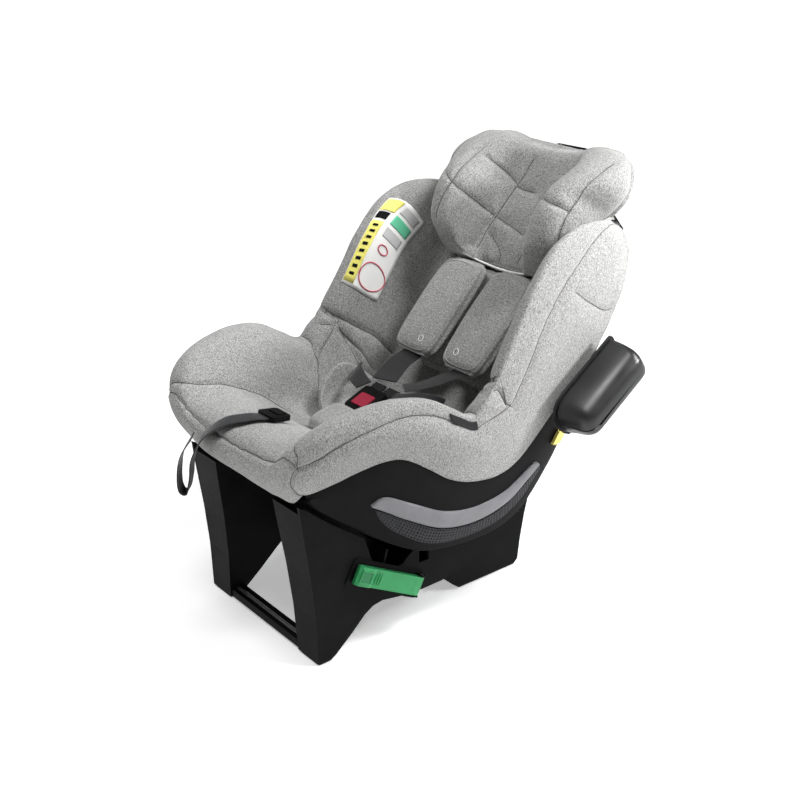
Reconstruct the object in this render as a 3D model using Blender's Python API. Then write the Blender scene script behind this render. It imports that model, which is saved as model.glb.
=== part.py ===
"""Convertible child car seat: base with two front legs and a rear foot, moulded bucket with
fabric covers, sliding headrest, five-point harness, belt lock-off clips and a side pod.

Lengths below are millimetres in the design frame: +X to the seat's left-hand side seen from the
child (the viewer's right, seen from the front), +Y to the rear, +Z up, the floor at z = 0 and
y = 0 at the toe of the front legs. The part's own frame is in metres, with its origin at the
centre of the rear foot's sole.
"""
import math

import bmesh
import bpy
from mathutils import Matrix, Vector

# ---------------------------------------------------------------- driving dimensions
MM = 0.001
REAR_FOOT_CENTRE_Y = 350.0      # the part's origin, on the sole
GAP = 0.3                       # clearance between touching pieces
COVER_THICKNESS = 4.0           # fabric with its foam backing
BUCKET_THICKNESS = 10.0         # inner bucket, plastic with an energy-absorbing liner
SHELL_THICKNESS = 4.0           # outer moulded shell
LEAN = math.radians(33.0)       # lean of the backrest and of the headrest's travel
WEBBING_WIDTH = 38.0
WEBBING_THICKNESS = 1.6
PULL_STRAP_WIDTH = 25.0
HALF_WIDTH_AT_TOE = 137.0       # outer face of the side panels at y = 0
SIDE_PANEL_FLARE = 0.045        # how fast the side panels spread towards the rear
SIDE_PANEL_THICKNESS = 5.0
HEADREST_ANCHOR = (448.0, 456.0)  # (y, z) of the headrest pad's lower front edge
CLIP_ORIGIN = (163.0, 76.0)     # (y, z) of the belt clips' own frame
CLIP_HINGE = (-6.0, 0.0, 6.0)   # the clips' hinge in that frame
CLIP_TAIL_RADIUS = 4.8
CLIP_HEIGHT = 27.0
CLIP_PIN_RADIUS = 2.3
POD_CORNER = (347.5, 312.0)     # (y, z) of the pod's lower front corner
POD_SLOPE = math.radians(35.5)

# Each station is one section across the bucket, from the front hem to the top of the back.
# centre: (y, z) on the mid-plane; floor: half width of the flat middle; rim: (x, y, z) of the
# crest; bulge: greatest half width outside; hem: (x, y, z) where the cover ends; ridge: (x, y, z)
# of the moulded shell's lower edge; under: (y, z) of the shell's underside on the mid-plane.
STATIONS = (
    {"centre": (-14, 244), "floor": 72, "rim": (116, -17, 250), "bulge": 130,
     "hem": (138, -12, 262), "ridge": (134, -6, 256), "under": (-6, 240)},
    {"centre": (-34, 266), "floor": 80, "rim": (138, -36, 286), "bulge": 150,
     "hem": (149, 5, 271), "ridge": (137, 8, 240), "under": (4, 232)},
    {"centre": (-38, 290), "floor": 92, "rim": (152, -38, 318), "bulge": 166,
     "hem": (160, 26, 281), "ridge": (143, 38, 216), "under": (28, 212)},
    {"centre": (-22, 306), "floor": 104, "rim": (163, -22, 345), "bulge": 181,
     "hem": (173, 50, 293), "ridge": (149, 70, 193), "under": (60, 190)},
    {"centre": (6, 312), "floor": 112, "rim": (173, 6, 364), "bulge": 194,
     "hem": (186, 80, 303), "ridge": (156, 100, 171), "under": (95, 168)},
    {"centre": (40, 308), "floor": 118, "rim": (184, 46, 376), "bulge": 204,
     "hem": (192, 110, 300), "ridge": (164, 132, 151), "under": (130, 148)},
    {"centre": (80, 288), "floor": 122, "rim": (191, 93, 382), "bulge": 210,
     "hem": (195, 145, 279), "ridge": (170, 160, 139), "under": (160, 136)},
    {"centre": (122, 264), "floor": 124, "rim": (196, 143, 374), "bulge": 212,
     "hem": (196, 180, 255), "ridge": (173, 190, 133), "under": (190, 130)},
    {"centre": (166, 248), "floor": 126, "rim": (199, 186, 351), "bulge": 212,
     "hem": (196, 212, 240), "ridge": (174, 222, 129), "under": (222, 126)},
    {"centre": (215, 238), "floor": 127, "rim": (201, 215, 336), "bulge": 211,
     "hem": (195, 245, 232), "ridge": (174, 254, 127), "under": (254, 124)},
    {"centre": (262, 234), "floor": 128, "rim": (202, 238, 350), "bulge": 209,
     "hem": (194, 275, 230), "ridge": (174, 288, 128), "under": (286, 125)},
    {"centre": (310, 236), "floor": 128, "rim": (200, 262, 378), "bulge": 207,
     "hem": (193, 308, 238), "ridge": (173, 318, 134), "under": (320, 130)},
    {"centre": (354, 254), "floor": 130, "rim": (196, 294, 428), "bulge": 206,
     "hem": (190, 340, 256), "ridge": (171, 350, 148), "under": (360, 142)},
    {"centre": (392, 300), "floor": 134, "rim": (193, 330, 487), "bulge": 206,
     "hem": (189, 372, 285), "ridge": (169, 388, 184), "under": (404, 176)},
    {"centre": (424, 348), "floor": 138, "rim": (190, 368, 530), "bulge": 205,
     "hem": (188, 418, 325), "ridge": (169, 424, 234), "under": (444, 232)},
    {"centre": (458, 400), "floor": 140, "rim": (187, 415, 551), "bulge": 202,
     "hem": (188, 478, 385), "ridge": (170, 464, 322), "under": (490, 325)},
    {"centre": (494, 456), "floor": 140, "rim": (183, 462, 554), "bulge": 197,
     "hem": (188, 512, 443), "ridge": (171, 508, 410), "under": (532, 412)},
    {"centre": (547, 538), "floor": 136, "rim": (172, 502, 547), "bulge": 186,
     "hem": (180, 533, 500), "ridge": (168, 546, 486), "under": (584, 520)},
)
SEAM_STATION = 11.0             # where the seat cover meets the back cover, in the bight
SEAM_SLIT = 0.02
LABEL_STATIONS, LABEL_COLUMNS = (12.0, 14.6), (3.3, 4.35)   # station numbers, points of the section
TAG_STATIONS, TAG_COLUMNS = (7.6, 9.1), (5.9, 6.3)
SEAT_ROWS = 19
BACK_ROWS = 11
HALF_COLUMNS = 12
HEM_GAP = 8.0                   # between the covers' hem and the edge of the moulded shell

# ---------------------------------------------------------------- small geometry tools


def catmull(values, position):
    """A smooth value through the listed ones at a fractional index; tuples work by component."""
    last = len(values) - 1
    index = min(int(position), last - 1)
    t = position - index
    before, start = values[max(index - 1, 0)], values[index]
    end, after = values[index + 1], values[min(index + 2, last)]
    weights = (-0.5 * t + t * t - 0.5 * t ** 3, 1 - 2.5 * t * t + 1.5 * t ** 3,
               0.5 * t + 2 * t * t - 1.5 * t ** 3, -0.5 * t * t + 0.5 * t ** 3)
    if isinstance(start, tuple):
        return tuple(sum(w * v for w, v in zip(weights, column))
                     for column in zip(before, start, end, after))
    return sum(w * v for w, v in zip(weights, (before, start, end, after)))


def station_at(position):
    """All the values of the bucket's section at a fractional station number."""
    return {key: catmull([station[key] for station in STATIONS], position) for key in STATIONS[0]}


def bucket_section(position):
    """Nine control points of the cover's outer surface, from the mid-plane to the hem."""
    s = station_at(position)
    centre = Vector((0.0,) + s["centre"])
    rim, hem = Vector(s["rim"]), Vector(s["hem"])
    lift = Vector((0.0, rim.y, rim.z)) - centre
    drop = Vector((0.0, hem.y - rim.y, hem.z - rim.z))
    floor, crest, bulge = s["floor"], rim.x, s["bulge"]
    wall = crest - floor
    across = (0.0, 0.6 * floor, floor, floor + 0.32 * wall, floor + 0.62 * wall, crest)
    height = (0.0, 0.005, 0.10, 0.50, 0.88, 1.0)
    points = [centre + lift * h + Vector((x, 0.0, 0.0)) for x, h in zip(across, height)]
    outside = ((0.5 * (crest + bulge) + 2.0, 0.10), (bulge, 0.38), (0.35 * bulge + 0.65 * hem.x, 0.78))
    points += [Vector((x, rim.y, rim.z)) + drop * d for x, d in outside]
    return points + [hem]


def sample_line(points, count):
    """Evenly numbered points on a smooth line through the listed ones."""
    rows = [tuple(point) for point in points]
    step = (len(rows) - 1) / (count - 1)
    return [Vector(catmull(rows, min(i * step, len(rows) - 1))) for i in range(count)]


def mirrored_row(half):
    """A full row from the left hem over the middle to the right hem."""
    left = [Vector((-p.x, p.y, p.z)) for p in reversed(half[1:])]
    return left + list(half)


def grid_normals(grid):
    """Unit normals of a grid of points, by central differences."""
    rows, columns = len(grid), len(grid[0])
    normals = []
    for r in range(rows):
        line = []
        for c in range(columns):
            along = grid[min(r + 1, rows - 1)][c] - grid[max(r - 1, 0)][c]
            across = grid[r][min(c + 1, columns - 1)] - grid[r][max(c - 1, 0)]
            line.append(across.cross(along).normalized())
        normals.append(line)
    return normals


def offset_grid(grid, distance):
    """The grid moved along its normals."""
    normals = grid_normals(grid)
    return [[p + n * distance for p, n in zip(row, line)] for row, line in zip(grid, normals)]


def skin_mesh(top, bottom):
    """Vertices and faces of the closed wall between two grids of the same size."""
    rows, columns = len(top), len(top[0])
    verts = [p for row in top for p in row] + [p for row in bottom for p in row]
    base = rows * columns
    faces = []
    for r in range(rows - 1):
        for c in range(columns - 1):
            a, b = r * columns + c, r * columns + c + 1
            d, e = a + columns, b + columns
            faces += [(a, d, e, b), (base + a, base + b, base + e, base + d)]
    edge = [c for c in range(columns)] + [r * columns + columns - 1 for r in range(1, rows)]
    edge += [(rows - 1) * columns + c for c in range(columns - 2, -1, -1)]
    edge += [r * columns for r in range(rows - 2, 0, -1)]
    for i, here in enumerate(edge):
        after = edge[(i + 1) % len(edge)]
        faces.append((here, after, base + after, base + here))
    return verts, faces


def loft_mesh(sections):
    """Vertices and faces of a closed body through closed sections of equal length."""
    count = len(sections[0])
    verts = [p for section in sections for p in section]
    faces = []
    for s in range(len(sections) - 1):
        for i in range(count):
            j = (i + 1) % count
            faces.append((s * count + i, s * count + j, (s + 1) * count + j, (s + 1) * count + i))
    faces.append(tuple(range(count)))
    faces.append(tuple((len(sections) - 1) * count + i for i in range(count)))
    return verts, faces


def rounded(outline, radius, steps=3):
    """A closed outline with its corners replaced by arcs; radius is one number or one each."""
    radii = radius if isinstance(radius, (list, tuple)) else [radius] * len(outline)
    points = []
    for i, corner in enumerate(outline):
        here = Vector(corner)
        back = Vector(outline[i - 1]) - here
        ahead = Vector(outline[(i + 1) % len(outline)]) - here
        if radii[i] <= 0.0:
            points.append(tuple(here))
            continue
        half_angle = back.angle(ahead) / 2.0
        reach = min(radii[i] / math.tan(half_angle), 0.48 * back.length, 0.48 * ahead.length)
        start, end = here + back.normalized() * reach, here + ahead.normalized() * reach
        for k in range(steps + 1):
            t = k / steps
            points.append(tuple(start * (1 - t) ** 2 + here * 2 * t * (1 - t) + end * t * t))
    return points


def box_outline(low, high):
    """The four corners of a rectangle."""
    return [(low[0], low[1]), (high[0], low[1]), (high[0], high[1]), (low[0], high[1])]


def circle(radius, sides, centre=(0.0, 0.0)):
    """The points of a circle."""
    return [(centre[0] + radius * math.cos(2 * math.pi * i / sides),
             centre[1] + radius * math.sin(2 * math.pi * i / sides)) for i in range(sides)]


# ---------------------------------------------------------------- materials and objects
MATERIALS = {}


def material(name, colour, roughness, metallic=0.0):
    """A Principled material, made once for each name."""
    if name not in MATERIALS:
        made = bpy.data.materials.new(name)
        made.use_nodes = True
        shader = made.node_tree.nodes["Principled BSDF"]
        shader.inputs["Base Color"].default_value = (*colour, 1.0)
        shader.inputs["Roughness"].default_value = roughness
        shader.inputs["Metallic"].default_value = metallic
        MATERIALS[name] = made
    return MATERIALS[name]


def fabric():
    return material("fabric", (0.42, 0.42, 0.41), 0.95)


def black_plastic():
    return material("black_plastic", (0.018, 0.018, 0.020), 0.55)


def grey_trim():
    return material("grey_trim", (0.39, 0.39, 0.41), 0.5)


def green_plastic():
    return material("green_plastic", (0.05, 0.45, 0.14), 0.45)


def yellow_plastic():
    return material("yellow_plastic", (0.75, 0.62, 0.15), 0.5)


def red_plastic():
    return material("red_plastic", (0.45, 0.02, 0.04), 0.45)


def webbing():
    return material("webbing", (0.04, 0.04, 0.045), 0.8)


def steel():
    return material("steel", (0.55, 0.55, 0.56), 0.35, 1.0)


def rubber():
    return material("rubber", (0.02, 0.02, 0.02), 0.9)


def foam():
    return material("foam", (0.09, 0.09, 0.095), 0.9)


def to_part(point):
    """Design millimetres to the part's metres."""
    return Vector((point[0], point[1] - REAR_FOOT_CENTRE_Y, point[2])) * MM


def add_object(name, mesh_parts, finish, pivot=(0.0, REAR_FOOT_CENTRE_Y, 0.0), smooth=40.0):
    """One named object from vertices and faces in design millimetres, its origin at the pivot."""
    verts, faces = mesh_parts
    origin = to_part(pivot)
    mesh = bpy.data.meshes.new(name)
    body = bmesh.new()
    made = [body.verts.new(to_part(v) - origin) for v in verts]
    for face in faces:
        body.faces.new([made[i] for i in face])
    bmesh.ops.recalc_face_normals(body, faces=body.faces)
    body.to_mesh(mesh)
    body.free()
    if smooth:
        mesh.shade_smooth()
        mesh.set_sharp_from_angle(angle=math.radians(smooth))
    mesh.materials.append(finish)
    made_object = bpy.data.objects.new(name, mesh)
    made_object.location = origin
    bpy.context.collection.objects.link(made_object)
    return made_object


def prism(outline, axis, low, high):
    """A closed prism of an outline in the plane across the axis ('x', 'y' or 'z')."""
    def at(point, level):
        first, second = point
        return {"x": (level, first, second), "y": (first, level, second),
                "z": (first, second, level)}[axis]
    return loft_mesh([[Vector(at(p, level)) for p in outline] for level in (low, high)])


def tube(points, radius, sides=10):
    """A closed round bar along a line of points."""
    line = [Vector(p) for p in points]
    sections = []
    side = None
    for i, p in enumerate(line):
        ahead = (line[min(i + 1, len(line) - 1)] - line[max(i - 1, 0)]).normalized()
        if side is None:
            side = ahead.orthogonal().normalized()
        side = (side - ahead * side.dot(ahead)).normalized()
        other = ahead.cross(side)
        sections.append([p + side * u + other * v for u, v in circle(radius, sides)])
    return loft_mesh(sections)


def ribbon(points, width, thickness, across, count=14):
    """A flat strap along a smooth line; across is one direction, or one for each point."""
    line = sample_line([Vector(p) for p in points], count)
    if isinstance(across[0], (int, float)):
        across = [across] * len(points)
    sides = sample_line([Vector(a) for a in across], count)
    sections = []
    for i, p in enumerate(line):
        ahead = (line[min(i + 1, count - 1)] - line[max(i - 1, 0)]).normalized()
        side = (sides[i] - ahead * sides[i].dot(ahead)).normalized()
        up = side.cross(ahead)
        w, t = side * width / 2.0, up * thickness / 2.0
        sections.append([p + w + t, p - w + t, p - w - t, p + w - t])
    return loft_mesh(sections)


def moved(mesh_parts, matrix):
    """The same faces with the vertices moved by a matrix."""
    verts, faces = mesh_parts
    return [matrix @ Vector(v) for v in verts], faces


def mirror(mesh_parts):
    """The same piece on the other side of the mid-plane."""
    verts, faces = mesh_parts
    return [Vector((-v[0], v[1], v[2])) for v in verts], faces


def both_sides(name, mesh_parts, finish, pivot=None):
    """A right-hand piece (+X) and its mirror image."""
    right_pivot = pivot or (0.0, REAR_FOOT_CENTRE_Y, 0.0)
    left_pivot = (-right_pivot[0],) + tuple(right_pivot[1:])
    return (add_object("right_" + name, mesh_parts, finish, right_pivot),
            add_object("left_" + name, mirror(mesh_parts), finish, left_pivot))


def combine(target, tool_parts, operation):
    """Apply a shape, given in design millimetres, to an object with a Boolean."""
    tool = add_object(target.name + "_tool", tool_parts, target.data.materials[0])
    tool.hide_render = True
    tool.display_type = "WIRE"
    modifier = target.modifiers.new(operation.lower(), "BOOLEAN")
    modifier.operation = operation
    modifier.object = tool
    modifier.solver = "EXACT"


def cut(target, cutter_parts):
    combine(target, cutter_parts, "DIFFERENCE")


def join(target, extra_parts):
    combine(target, extra_parts, "UNION")


# ---------------------------------------------------------------- the bucket and its covers


def bucket_rows():
    """Station numbers of the rows: the seat's, then the back's, with a slit between them."""
    top = len(STATIONS) - 1.0
    seat = [(SEAM_STATION - SEAM_SLIT) * r / (SEAT_ROWS - 1) for r in range(SEAT_ROWS)]
    start = SEAM_STATION + SEAM_SLIT
    return seat + [start + (top - start) * r / (BACK_ROWS - 1) for r in range(BACK_ROWS)]


def bucket_grid():
    """Rows of points on the covers' outer surface, hem to hem."""
    grid = []
    for position in bucket_rows():
        points = [tuple(p) for p in bucket_section(position)]
        last = len(points) - 1
        half = [Vector(catmull(points, last * c / (HALF_COLUMNS - 1))) for c in range(HALF_COLUMNS)]
        grid.append(mirrored_row(half))
    return grid


def add_bucket_and_covers():
    """The inner bucket, and over it the seat cover and back cover, which meet in the bight."""
    outer = bucket_grid()
    under_cover = offset_grid(outer, -COVER_THICKNESS)
    bucket_face = offset_grid(outer, -(COVER_THICKNESS + GAP))
    bucket_back = []
    for r, (row, line) in enumerate(zip(bucket_face, grid_normals(outer))):
        thickness = BUCKET_THICKNESS * min(1.0, 0.4 + 0.2 * r)
        bucket_back.append([p - n * thickness for p, n in zip(row, line)])
    add_object("seat_cover", skin_mesh(outer[:SEAT_ROWS], under_cover[:SEAT_ROWS]), fabric())
    add_object("back_cover", skin_mesh(outer[SEAT_ROWS:], under_cover[SEAT_ROWS:]), fabric())
    add_object("inner_bucket", skin_mesh(bucket_face[1:], bucket_back[1:]), foam())


def shell_half(position):
    """Half of the moulded shell's section, from the mid-plane to just under the hem."""
    s = station_at(position)
    under, ridge, hem = Vector((0.0,) + s["under"]), Vector(s["ridge"]), Vector(s["hem"])
    down = (ridge - hem).normalized()
    edge = hem + down * HEM_GAP
    inner_ridge = Vector((ridge.x - 26.0, 0.35 * ridge.y + 0.65 * under.y, 0.35 * ridge.z + 0.65 * under.z))
    return [under, under.lerp(inner_ridge, 0.5), inner_ridge, ridge.lerp(inner_ridge, 0.15),
            ridge + (hem - ridge) * 0.06, ridge.lerp(hem, 0.5) + Vector((2.0, 0.0, 0.0)), edge]


def add_shell():
    """The moulded shell that shows below the covers."""
    grid = [mirrored_row(shell_half(position)) for position in bucket_rows()[1:]]
    add_object("seat_shell", skin_mesh(grid, offset_grid(grid, SHELL_THICKNESS)), black_plastic())


def add_top_trim():
    """The strip that closes the top of the back between the bucket and the moulded shell."""
    sections = []
    rows = ((-132, 126, 117), (-70, 127, 124), (0, 127, 133), (70, 127, 124), (132, 126, 117))
    for x, front, rear in rows:
        line = ((front, -38.6), (rear, -74.0), (rear + 3.0, -73.0), (front + 3.0, -38.6))
        sections.append([lean_point(x, along, out) for along, out in line])
    add_object("back_top_trim", loft_mesh(sections), black_plastic())


# ---------------------------------------------------------------- base


def side_panel_x(y):
    """Outer face of the side panels: they spread towards the rear."""
    return HALF_WIDTH_AT_TOE + SIDE_PANEL_FLARE * y


LEG_FRONT = ((3, 6), (75, 4), (140, -2), (205, -11), (247, -16))   # (z, y) of the legs' front
LEG_REAR = ((3, 26), (33, 60), (60, 88), (75, 105), (140, 105), (168, 84), (190, 50), (212, 20), (236, -6))


def along_table(table, key):
    """Straight-line value in a table of (key, value) pairs."""
    for (k0, v0), (k1, v1) in zip(table, table[1:]):
        if key <= k1:
            return v0 + (v1 - v0) * (key - k0) / (k1 - k0)
    return table[-1][1]


def leg_inner_x(z):
    """The inner face of the legs: they open towards the floor."""
    return 89.0 - 17.0 * z / 241.0


def leg_walls():
    """Front and inner walls of a front leg, an angle section rooted in the side panel."""
    flange, wall, root = 6.0, 4.0, 2.0
    sections = []
    for z in (3, 33, 60, 75, 105, 140, 168, 190, 212, 225, 236):
        front, rear = along_table(LEG_FRONT, z), along_table(LEG_REAR, z)
        outer = side_panel_x(front) - root
        inner = leg_inner_x(z)
        outline = ((outer, front + 0.1), (inner, front + 0.1), (inner, rear), (inner + wall, rear),
                   (inner + wall, front + flange), (outer, front + flange))
        sections.append([Vector((x, y, z + 0.05)) for x, y in outline])
    return loft_mesh(sections)


def add_side_panels():
    """Side walls of the base: front leg, belly and the notch where the belt passes."""
    front = [(y, z) for z, y in reversed(LEG_FRONT)]
    sole = [(10, 3), (26, 3), (35, 9)]
    belly = [(62, 33), (83, 54), (97, 63), (113, 66), (140, 62), (175, 59), (216, 61), (268, 72),
             (327, 93), (358, 107)]
    top = [(364, 126), (348, 133), (318, 123), (286, 117), (254, 116), (222, 118), (190, 122),
           (166, 127), (156, 120), (148, 112), (122, 110), (104, 120), (94, 140), (84, 172),
           (70, 182), (38, 205), (8, 229), (-4, 240)]
    outline = front + sole + belly + top
    levels = []
    for inward in (SIDE_PANEL_THICKNESS, 0.0):
        levels.append([Vector((side_panel_x(y) - inward, y, z)) for y, z in outline])
    right, left = both_sides("side_panel", loft_mesh(levels), black_plastic())
    slot = prism(box_outline((176, 104), (193, 124)), "x", 120, 170)
    for panel, flip in ((right, False), (left, True)):
        join(panel, mirror(leg_walls()) if flip else leg_walls())
        cut(panel, mirror(slot) if flip else slot)
    pad = prism(rounded(box_outline((91, 8), (135, 27)), 4), "z", 0.0, 3.0 - GAP)
    both_sides("front_foot_pad", pad, rubber())


def add_crossbar():
    """The channel that joins the two front feet, and the steel rod that lies in it."""
    half = leg_inner_x(16) - GAP - 0.3
    channel = [(8, 4), (30, 4), (30, 16), (24, 16), (24, 8), (14, 8), (14, 16), (8, 16)]
    add_object("front_crossbar", prism(channel, "x", -half, half), black_plastic())
    rod = tube([(x, 19.0, 12.6) for x in (-half, half)], 4.2, 12)
    add_object("front_rod", rod, steel())


BELLY = ((124, 140), (116, 112), (114, 74), (140, 65), (175, 62), (216, 64), (262, 74), (327, 97),
         (356, 112))


def add_base_pan():
    """The belly of the base, from the bulkhead behind the front legs to the rear foot."""
    thickness = 4.0
    low, high = [], []
    for i, (y, z) in enumerate(BELLY):
        before, after = BELLY[max(i - 1, 0)], BELLY[min(i + 1, len(BELLY) - 1)]
        ahead = Vector((after[0] - before[0], after[1] - before[1])).normalized()
        inward = Vector((-ahead.y, ahead.x)) * thickness
        half = side_panel_x(y) - SIDE_PANEL_THICKNESS - 0.8
        low.append([Vector((x, y, z)) for x in (-half, 0.0, half)])
        high.append([Vector((x, y + inward.x, z + inward.y)) for x in (-half, 0.0, half)])
    add_object("base_pan", skin_mesh(low, high), black_plastic())


def add_rear_foot():
    """The box-shaped rear foot below the bight, open at the top, and its rubber sole."""
    outline = [(267, 72), (270, 32), (276, 12), (288, 3), (402, 3), (410, 10), (414, 45), (421, 85),
               (431, 125), (436, 200), (404, 165), (366, 135), (362, 112), (327, 95)]
    foot = add_object("rear_foot", prism(outline, "x", -105, 105), black_plastic())
    inside = [(275, 72), (277, 36), (282, 17), (290, 9), (399, 9), (404, 13), (408, 46), (415, 86),
              (425, 126), (430, 240), (340, 240), (275, 120)]
    cut(foot, prism(inside, "x", -99, 99))
    sole = prism(rounded(box_outline((-92, 292), (92, 400)), 8), "z", 0.0, 3.0 - GAP)
    add_object("rear_foot_pad", sole, rubber())


def add_belt_bar():
    """The steel bar across the base that the vehicle belt bears on."""
    half = side_panel_x(126) - SIDE_PANEL_THICKNESS - 0.6
    add_object("belt_path_bar", tube([(-half, 130, 104), (half, 130, 104)], 5.0, 12), steel())


# ---------------------------------------------------------------- trim on the shell's sides


def shell_side_x(y, z):
    """Half width of the moulded shell's side face at a height and depth."""
    position, step = 1.0, 0.05
    best = None
    while position < 16.9:
        s = station_at(position)
        ridge, hem = Vector(s["ridge"]), Vector(s["hem"])
        span = Vector((hem.y - ridge.y, hem.z - ridge.z))
        here = Vector((y - ridge.y, z - ridge.z))
        miss = abs(span.x * here.y - span.y * here.x) / span.length
        if best is None or miss < best[0]:
            t = here.dot(span) / span.length_squared
            best = (miss, ridge.x + (hem.x - ridge.x) * t + 2.0 * (1.0 - abs(2.0 * t - 1.0)))
        position += step
    return best[1]


TRIM_UPPER = ((75, 236), (92, 245), (130, 227), (183, 200), (238, 189), (294, 195),
              (332, 212), (356, 220), (366, 216))
TRIM_LOWER = ((77, 231), (99, 218), (128, 200), (186, 171), (248, 162), (304, 173),
              (344, 195), (360, 204), (368, 211))
GRILLE_UPPER = ((80, 227), (99, 216), (128, 198), (186, 169), (248, 160), (304, 171),
                (344, 193), (361, 203), (371, 210))
GRILLE_LOWER = ((82, 224), (93, 205), (116, 182), (168, 151), (232, 141), (292, 147),
                (332, 164), (354, 182), (374, 203))


def side_band(upper, lower, near, far, columns=19):
    """A thin piece on the shell's side face between an upper and a lower line."""
    top = sample_line([Vector((0.0,) + p) for p in upper], columns)
    bottom = sample_line([Vector((0.0,) + p) for p in lower], columns)
    rows = [[b.lerp(t, f) for b, t in zip(bottom, top)] for f in (0.0, 0.5, 1.0)]
    faces = []
    for lift in (near, far):
        faces.append([[Vector((shell_side_x(p.y, p.z) + lift, p.y, p.z)) for p in row] for row in rows])
    return skin_mesh(*faces)


def add_side_trim():
    both_sides("side_trim", side_band(TRIM_UPPER, TRIM_LOWER, 0.9, 3.4), grey_trim())
    both_sides("side_grille", side_band(GRILLE_UPPER, GRILLE_LOWER, 0.9, 2.2), black_plastic())


def add_belt_guides():
    """Yellow guides for the vehicle belt, at the rear of the shell's sides."""
    outline = rounded([(392, 236), (404, 256), (428, 250), (414, 232)], 4)
    near = [Vector((shell_side_x(y, z) + 0.9, y, z)) for y, z in outline]
    far = [p + Vector((5.0, 0.0, 0.0)) for p in near]
    both_sides("belt_guide", loft_mesh([near, far]), yellow_plastic())


# ---------------------------------------------------------------- belt lock-off clips


def clip_frame(side):
    """The clip's own frame: x along the clip to its free end, y up across it, z outward."""
    origin_y, origin_z = CLIP_ORIGIN
    tilt = math.radians(27.5)
    origin = Vector((side_panel_x(origin_y) + 1.2, origin_y, origin_z))
    along = Vector((-SIDE_PANEL_FLARE * math.cos(tilt), -math.cos(tilt), math.sin(tilt))).normalized()
    up = Vector((0.0, math.sin(tilt), math.cos(tilt)))
    up = (up - along * up.dot(along)).normalized()
    out = along.cross(up) * -1.0
    if out.x < 0.0:
        out = -out
    matrix = Matrix((along, up, out)).transposed().to_4x4()
    matrix.translation = origin
    if side < 0:
        matrix = Matrix.Diagonal((-1.0, 1.0, 1.0, 1.0)) @ matrix
    return matrix


def clip_bar(frame, half_length, radius):
    """A round bar along the clips' hinge axis."""
    x, _, z = CLIP_HINGE
    return moved(tube([(x, -half_length, z), (x, half_length, z)], radius, 12), frame)


def add_clips():
    """Green lock-off clips that swing out on a pin at their rear end, with bracket and pin."""
    half = CLIP_HEIGHT / 2.0
    hinge_x, _, hinge_z = CLIP_HINGE
    tail = []
    for i in range(7):
        angle = math.pi * (0.5 + i / 6.0)
        tail.append((hinge_x + CLIP_TAIL_RADIUS * math.cos(angle),
                     hinge_z + CLIP_TAIL_RADIUS * math.sin(angle)))
    arm = [(104, 2), (112, 5), (112, 10), (108, 13.5), (88, 13.5), (82, 11), (4, 12)] + tail
    for side, label in ((1, "right"), (-1, "left")):
        frame = clip_frame(side)
        pivot = tuple(frame @ Vector(CLIP_HINGE))
        shape = moved(prism(arm, "y", -half, half), frame)
        clip = add_object(label + "_belt_clip", shape, green_plastic(), pivot)
        cut(clip, clip_bar(frame, half + 2.0, CLIP_PIN_RADIUS + GAP))
        add_object(label + "_clip_pin", clip_bar(frame, half + 3.2, CLIP_PIN_RADIUS), steel())
        plate = prism(rounded(box_outline((-16, -half - 7), (118, half + 7)), 6), "z", -0.4, 0.9)
        bracket = add_object(label + "_clip_bracket", moved(plate, frame), black_plastic())
        for sign in (-1, 1):
            near, far = sorted((sign * (half + 0.4), sign * (half + 3.0)))
            lug = prism([(-12, 0.5), (0, 0.5), (0, 8), (-3, 10.5), (-9, 10.5), (-12, 8)], "y", near, far)
            join(bracket, moved(lug, frame))
        cut(bracket, clip_bar(frame, half + 6.0, CLIP_PIN_RADIUS + GAP))


# ---------------------------------------------------------------- side pod


def pod_point(u, v, x):
    """A point of the pod: u along its slope from the lower front corner, v across it."""
    along = Vector((0.0, math.cos(POD_SLOPE), math.sin(POD_SLOPE)))
    across = Vector((0.0, math.sin(POD_SLOPE), -math.cos(POD_SLOPE)))
    return Vector((x, POD_CORNER[0], POD_CORNER[1])) + along * u + across * v


def pod_outline(low, high, radii, x, steps=4):
    return [pod_point(u, v, x) for u, v in rounded(box_outline(low, high), radii, steps)]


def add_pod():
    """Side-impact pod on the right wing, and the rail that it slides onto on each wing."""
    rail = loft_mesh([pod_outline((30, 18), (112, 52), 5, x) for x in (208.0, 212.0)])
    both_sides("pod_rail", rail, black_plastic())
    flange = loft_mesh([pod_outline((0, 0), (147, 70), (34, 6, 10, 30), x) for x in (212.4, 216.0)])
    add_object("pod_flange", flange, black_plastic())
    body = [pod_outline((3, 3), (144, 66), (32, 6, 10, 28), 216.4),
            pod_outline((4, 3.5), (143, 58), (30, 8, 12, 26), 240.0),
            pod_outline((5, 5), (141, 50), (28, 10, 14, 22), 258.0),
            pod_outline((8, 9), (138, 46), (24, 12, 14, 18), 268.0),
            pod_outline((14, 15), (132, 42), (18, 12, 12, 14), 274.0)]
    cover = add_object("pod_cover", loft_mesh(body), black_plastic())
    hollow = [pod_outline((8, 8), (139, 60), (28, 5, 8, 24), 215.0),
              pod_outline((9, 9), (138, 50), (25, 6, 8, 20), 245.0),
              pod_outline((14, 14), (133, 42), (18, 8, 8, 14), 264.0)]
    cut(cover, loft_mesh(hollow))
    core = [pod_outline((12, 12), (135, 55), (24, 5, 8, 20), 216.6),
            pod_outline((14, 14), (133, 45), (20, 6, 8, 16), 243.0)]
    add_object("pod_core", loft_mesh(core), foam())


# ---------------------------------------------------------------- headrest


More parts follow.
